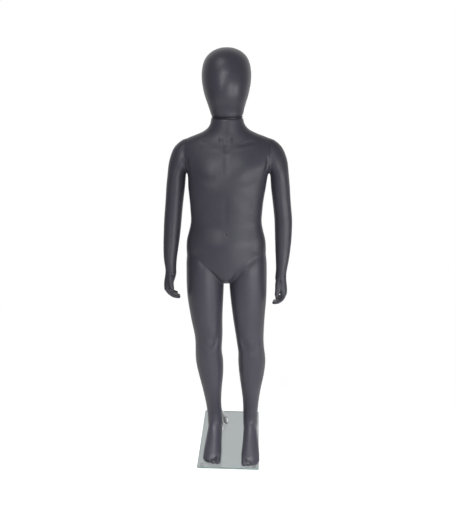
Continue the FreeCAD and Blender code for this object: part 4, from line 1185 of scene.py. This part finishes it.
# %% Torso shell
ARMPIT = 900.0
NECK_AXIS = (-1.0, -5.0)
SHOULDER_RECESS = [SHOULDER_DISC, (19.0 * MM, 5.0 * MM)]
NECK_RECESS = [(30.1 * MM, 3.1 * MM), (12.1 * MM, 41.0 * MM)]

torso = figure.copy()
shoulders = []
for out in (-1, 1):
    seam, outward = at(out * (SHOULDER_FACE - PARTING / 2), *SHOULDER_AXIS), Vector((out, 0, 0))
    shoulders.append((cut(torso, seam, outward, at(0, 0, ARMPIT).z), seam, outward))
neck = cut(torso, at(0, 0, NECK_SEAM), UP)
groin = []
for out in (-1, 1):
    place, normal = groin_plane(out)
    groin += cut(torso, place, -normal)
keep_island(torso, max(torso.verts, key=lambda vert: vert.co.z))
for rim, seam, outward in shoulders:
    close(torso, rim, (seam, outward, SHOULDER_RECESS))
    ease(torso, rim, EDGE)
close(torso, neck, (at(*NECK_AXIS, NECK_SEAM), UP, NECK_RECESS))
ease(torso, neck, EDGE)
bmesh.ops.holes_fill(torso, edges=[e for e in torso.edges if e.is_boundary], sides=0)
ease(torso, groin)
piece("torso", torso, "figure", ["torso_shell"])

# %% [markdown]
# ### Leg shells
#
# Each leg is what lies below its groin seam. The right calf is bored for the steel tube that
# the rod goes into, with a Boolean against a plain round bar on the same axis as the tube.

# %% Leg shells
ROD_BEND = (-60, 90, 140)
ROD_TOP = (-61, 46, 200)
BAR_RADIUS = 10.7 * MM
BAR_LENGTH = 120.0 * MM
BAR_BELOW_PLUG = 56.0 * MM


def boring_bar():
    """A round bar along the calf tube's axis, as wide as the tube."""
    low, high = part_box("bush_plug")
    along = (at(*ROD_TOP) - at(*ROD_BEND)).normalized()
    bar = bmesh.new()
    bmesh.ops.create_cone(bar, cap_ends=True, segments=64, radius1=BAR_RADIUS,
                          radius2=BAR_RADIUS, depth=BAR_LENGTH,
                          matrix=facing((low + high) / 2 - along * BAR_BELOW_PLUG, along))
    return placed("boring_bar", mesh_of("boring_bar", bar))


def bore(made, bar):
    """Take the bar's room out of a piece, and the bar out of the scene."""
    boolean = made.modifiers.new("bore", "BOOLEAN")
    boolean.operation = "DIFFERENCE"
    boolean.solver = "EXACT"
    boolean.object = bar
    bored = settled(made)
    made.modifiers.clear()
    made.data = bored
    bpy.data.objects.remove(bar)


for which in (RIGHT, LEFT):
    leg = figure.copy()
    place, normal = groin_plane(OUTWARD[which])
    rim = cut(leg, place, normal)
    toe = min((v for v in leg.verts if (v.co.x - MIDDLE) * OUTWARD[which] > 0),
              key=lambda vert: vert.co.y)
    keep_island(leg, toe)
    close(leg, rim)
    ease(leg, rim)
    name = WORD[which] + "_leg"
    made = piece(name, leg, "figure", [name + "_shell"])
    if which == RIGHT:
        bore(made, boring_bar())
figure.free()
print("legs cut")

# %% [markdown]
# ## Hands
#
# Fingers need finer clay than the body, so each hand is its own small sculpture: a palm, four
# bent fingers and a thumb. A finger's row holds its place from front to back, its radius at
# both ends and its three bones, and it is lofted as one tube along them. The right hand bends
# more at the knuckles.

# %% Fingers and thumb
PALM = {
    RIGHT: ((-10, 1.0, -20, 22, 34.3), (0, 1.4, -20, 21, 34.4), (9, 0.6, -22, 21, 34.8),
            (24, -2.6, -26, 23, 34.0), (39, -7.0, -29, 26, 30.0), (52, -9.5, -29, 26, 25.0),
            (61, -10.5, -26, 24, 18.0)),
    LEFT: ((-10, -0.6, -20, 22, 33.0), (0, 0.8, -20, 21, 34.0), (9, 1.6, -22, 21, 35.2),
           (24, -0.6, -26, 23, 34.0), (40, -4.4, -29, 26, 31.0), (55, -7.6, -29, 26, 26.0),
           (65, -8.5, -26, 24, 19.0)),
}
FINGERS = (
    (-21.0, 7.4, 5.4, (24.0, 16.0, 11.5)),
    (-7.0, 7.6, 5.6, (26.0, 18.0, 12.5)),
    (7.0, 7.2, 5.3, (24.5, 17.0, 12.0)),
    (19.5, 6.4, 4.7, (19.0, 13.0, 10.0)),
)
FINGER_BENDS = {RIGHT: (32, 54, 76), LEFT: (20, 50, 78)}
BONE_WAIST = ((0.3, 0.98), (0.55, 0.93), (0.85, 1.0))
FINGERTIP = ((0.0, 1.0), (0.55, 0.80), (0.85, 0.42))
CURL = -1.0
KNUCKLE_FALL = 2.2
KNUCKLES = {RIGHT: (-15.0, 47.0), LEFT: (-12.5, 50.0)}
THUMB = {
    RIGHT: ((3, -6, 2, 7.0), (2, -13, 10, 11.0), (2, -20, 20, 11.0), (3.5, -26, 31, 9.2),
            (5.5, -30, 40, 7.8), (7.5, -32, 47, 7.4), (8.8, -33, 53, 5.8),
            (9.2, -33, 56, 3.2)),
    LEFT: ((4, -6, 3, 8.0), (6, -14, 13, 11.5), (8, -22, 25, 11.5), (10, -28, 37, 9.2),
           (12, -31.5, 46, 7.8), (13.2, -33.5, 53, 7.4), (13.2, -34, 59, 5.8),
           (13.0, -34, 62, 3.2)),
}


def finger(clay, root, out, bends, bones, thick, thin):
    """One finger: three bones that curl towards the thigh."""
    points, radii = [root], [thick]
    here = root
    for number, (bend, bone) in enumerate(zip(bends, bones)):
        turn = math.radians(bend)
        along = Vector((-out * math.sin(turn), 0.0, -math.cos(turn)))
        start_radius = thick + (thin - thick) * number / len(bones)
        end_radius = thick + (thin - thick) * (number + 1) / len(bones)
        for share, waist in BONE_WAIST:
            points.append(here + along * (bone * MM * share))
            radii.append((start_radius + (end_radius - start_radius) * share) * waist)
        here = here + along * (bone * MM)
    for share, narrow in FINGERTIP:
        points.append(here + along * (thin * share * MM))
        radii.append(thin * narrow)
    tube(clay, points, [radius * MM for radius in radii])


def thumb(clay, top, which):
    """The thumb, from its ball at the wrist down the front of the palm."""
    points = [top + Vector((-OUTWARD[which] * inward, fore, -drop)) * MM
              for inward, fore, drop, _ in THUMB[which]]
    tube(clay, points, [row[3] * MM for row in THUMB[which]])


print(len(FINGERS), "fingers and a thumb for each hand")

# %% [markdown]
# ### Fusing the hands
#
# Palm, fingers and thumb are fused at half the voxel size of the body. The stub at the top has
# the forearm's own section and is cut level, so hand and arm meet in one outline.

# %% Hands
HAND_VOXEL = VOXEL / 2


def make_hand(which):
    """Palm, fingers and thumb as one skin, cut level at the wrist."""
    out = OUTWARD[which]
    top = wrist_middle(which) - Vector((0, 0, PARTING * MM))
    side, back, height = (top.x - MIDDLE) / MM, top.y / MM, (top.z - SOLE) / MM
    clay = bmesh.new()
    upright_form(clay, [(height - drop, side - out * inward, back + front, back + rear,
                         thick, SQUARISH) for drop, inward, front, rear, thick
                        in reversed(PALM[which])])
    inward, drop = KNUCKLES[which]
    for number, (fore, thick, thin, bones) in enumerate(FINGERS):
        root = top + Vector((-out * inward, fore, -drop - KNUCKLE_FALL * number)) * MM
        bends = [bend + CURL * number for bend in FINGER_BENDS[which]]
        finger(clay, root, out, bends, bones, thick, thin)
    thumb(clay, top, which)
    bmesh.ops.recalc_face_normals(clay, faces=clay.faces)
    hand = merged(clay, HAND_VOXEL, rounds=5)
    for face in hand.faces:
        face.smooth = True
    rim = cut(hand, top, UP)
    close(hand, rim)
    ease(hand, rim, EDGE)
    name = WORD[which] + "_hand"
    piece(name + "_skin", hand, name, [name])


for which in (RIGHT, LEFT):
    make_hand(which)

# %% [markdown]
# ## Floor, light and air
#
# The figure stands before plain white. The floor is a pale matt sheet with a little light of
# its own, so that it reads as white and still takes the soft shadow of the plate. Straight
# rays and those through glass see white all round. Mirrored rays see it only behind the
# figure, where a shop's photographer hangs a backdrop, and a dimmer room elsewhere: that is
# what keeps the flanks of a dark glossy coat dark.

# %% Floor
FLOOR_GLOW = 0.90
FLOOR_PALE = 0.35
NEAR = 0.45
FAR = 1.3
WHITE = (1.0, 1.0, 1.0, 1.0)


def combined(tree, operation, first, second):
    """What a math node makes of two outputs."""
    return node(tree, "Math", {0: first, 1: second}, operation=operation).outputs[0]


def seen_rays(tree, in_mirrors=None):
    """How white the background is to a ray: straight, through glass, or mirrored."""
    path = node(tree, "LightPath").outputs
    mirrored = path["Is Glossy Ray"]
    if in_mirrors:
        mirrored = combined(tree, "MULTIPLY", mirrored, in_mirrors)
    straight = combined(tree, "MAXIMUM", path["Is Camera Ray"], path["Is Transmission Ray"])
    return combined(tree, "MAXIMUM", straight, mirrored)


def pale_floor():
    """Matt white that glows a little, and more so away from the plate."""
    material, tree, shader = new_finish("pale_floor", Roughness=0.9, Specular_IOR_Level=0.1,
                                        Emission_Color=WHITE)
    place = node(tree, "TexCoord").outputs["Object"]
    reach = node(tree, "VectorMath", {0: place}, operation="LENGTH").outputs["Value"]
    glow = mapped(tree, reach, NEAR, FAR, FLOOR_GLOW, 1.0)
    feed(tree, shader, {
        "Base Color": mapped(tree, reach, NEAR, FAR, FLOOR_PALE, 0.0),
        "Emission Strength": combined(tree, "MULTIPLY", glow, seen_rays(tree)),
    })
    return material


sheet = bmesh.new()
bmesh.ops.create_grid(sheet, x_segments=1, y_segments=1, size=FAR)
floor = placed("floor", mesh_of("floor", sheet))
floor.data.materials.append(pale_floor())
floor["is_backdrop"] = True
print("floor is", 2 * FAR, "m square")

# %% [markdown]
# ### Lamps
#
# A large soft box low on the right is the key, with a weaker one beside it. A tall strip left
# of the camera draws the long streak on the head, one lamp high in front and one high on the
# left model the shoulders, a small one with a narrow beam hangs over the feet, and one stands
# behind, for whoever walks round.

# %% Lamps
def soft_box(name, azimuth, elevation, distance, target, width, height, power, spread=180):
    """A rectangular lamp; azimuth is from the front towards the viewer's right."""
    turn, rise = math.radians(azimuth), math.radians(elevation)
    offset = Vector((math.sin(turn) * math.cos(rise), -math.cos(turn) * math.cos(rise),
                     math.sin(rise)))
    lamp = bpy.data.lights.new(name, "AREA")
    lamp.shape = "RECTANGLE"
    lamp.size = width
    lamp.size_y = height
    lamp.energy = power
    lamp.spread = math.radians(spread)
    aim = offset.to_track_quat("Z", "Y").to_matrix().to_4x4()
    placed(name, lamp).matrix_world = Matrix.Translation(target + offset * distance) @ aim


HIPS = Vector((0, 0, 0.62))
FACE = Vector((0, 0, 1.25))
FEET = Vector((0, -0.05, 0.10))
soft_box("key", 31, -9, 2.0, HIPS, 1.0, 1.0, 16.5)
soft_box("side", 62, -7, 2.0, HIPS, 0.7, 0.7, 10.0)
soft_box("streak", -17, 5, 1.9, FACE, 0.16, 1.4, 12.0)
soft_box("front", 0, 35, 2.0, HIPS, 0.5, 0.5, 4.5)
soft_box("top_left", -40, 65, 2.0, HIPS, 0.7, 0.7, 5.0)
soft_box("over_feet", 8, 70, 0.9, FEET, 0.2, 0.2, 0.35, 38)
soft_box("behind", 180, 8, 2.4, HIPS, 0.9, 0.9, 12.0)
print(len(bpy.data.lights), "lamps")

# %% [markdown]
# ### The white all round
#
# The direction in the world tells the backdrop from the room, since it hangs behind the
# figure, where Y is positive. The little fill is all that the world sends to matt surfaces.

# %% World
FILL = 0.03
ROOM = 0.2
BACKDROP = (0.3, 0.8)

world = bpy.data.worlds.new("studio")
bpy.context.scene.world = world
world.use_nodes = True
tree = world.node_tree
way = node(tree, "SeparateXYZ", {"Vector": node(tree, "TexCoord").outputs["Generated"]})
backdrop = mapped(tree, way.outputs["Y"], *BACKDROP, ROOM, 1.0)
feed(tree, tree.nodes["Background"], {
    "Color": WHITE,
    "Strength": mapped(tree, seen_rays(tree, backdrop), 0.0, 1.0, FILL, 1.0),
})
bpy.context.scene.view_settings.view_transform = "Standard"
print("white backdrop, fill", FILL)

# %% [markdown]
# ## Bounds
#
# The last cell prints the bounds of what renders, the floor left out: the dressed figure and its
# stand.

# %% Finish
low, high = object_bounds()
print("dressed", [round(x, 4) for x in (*low, *high)])
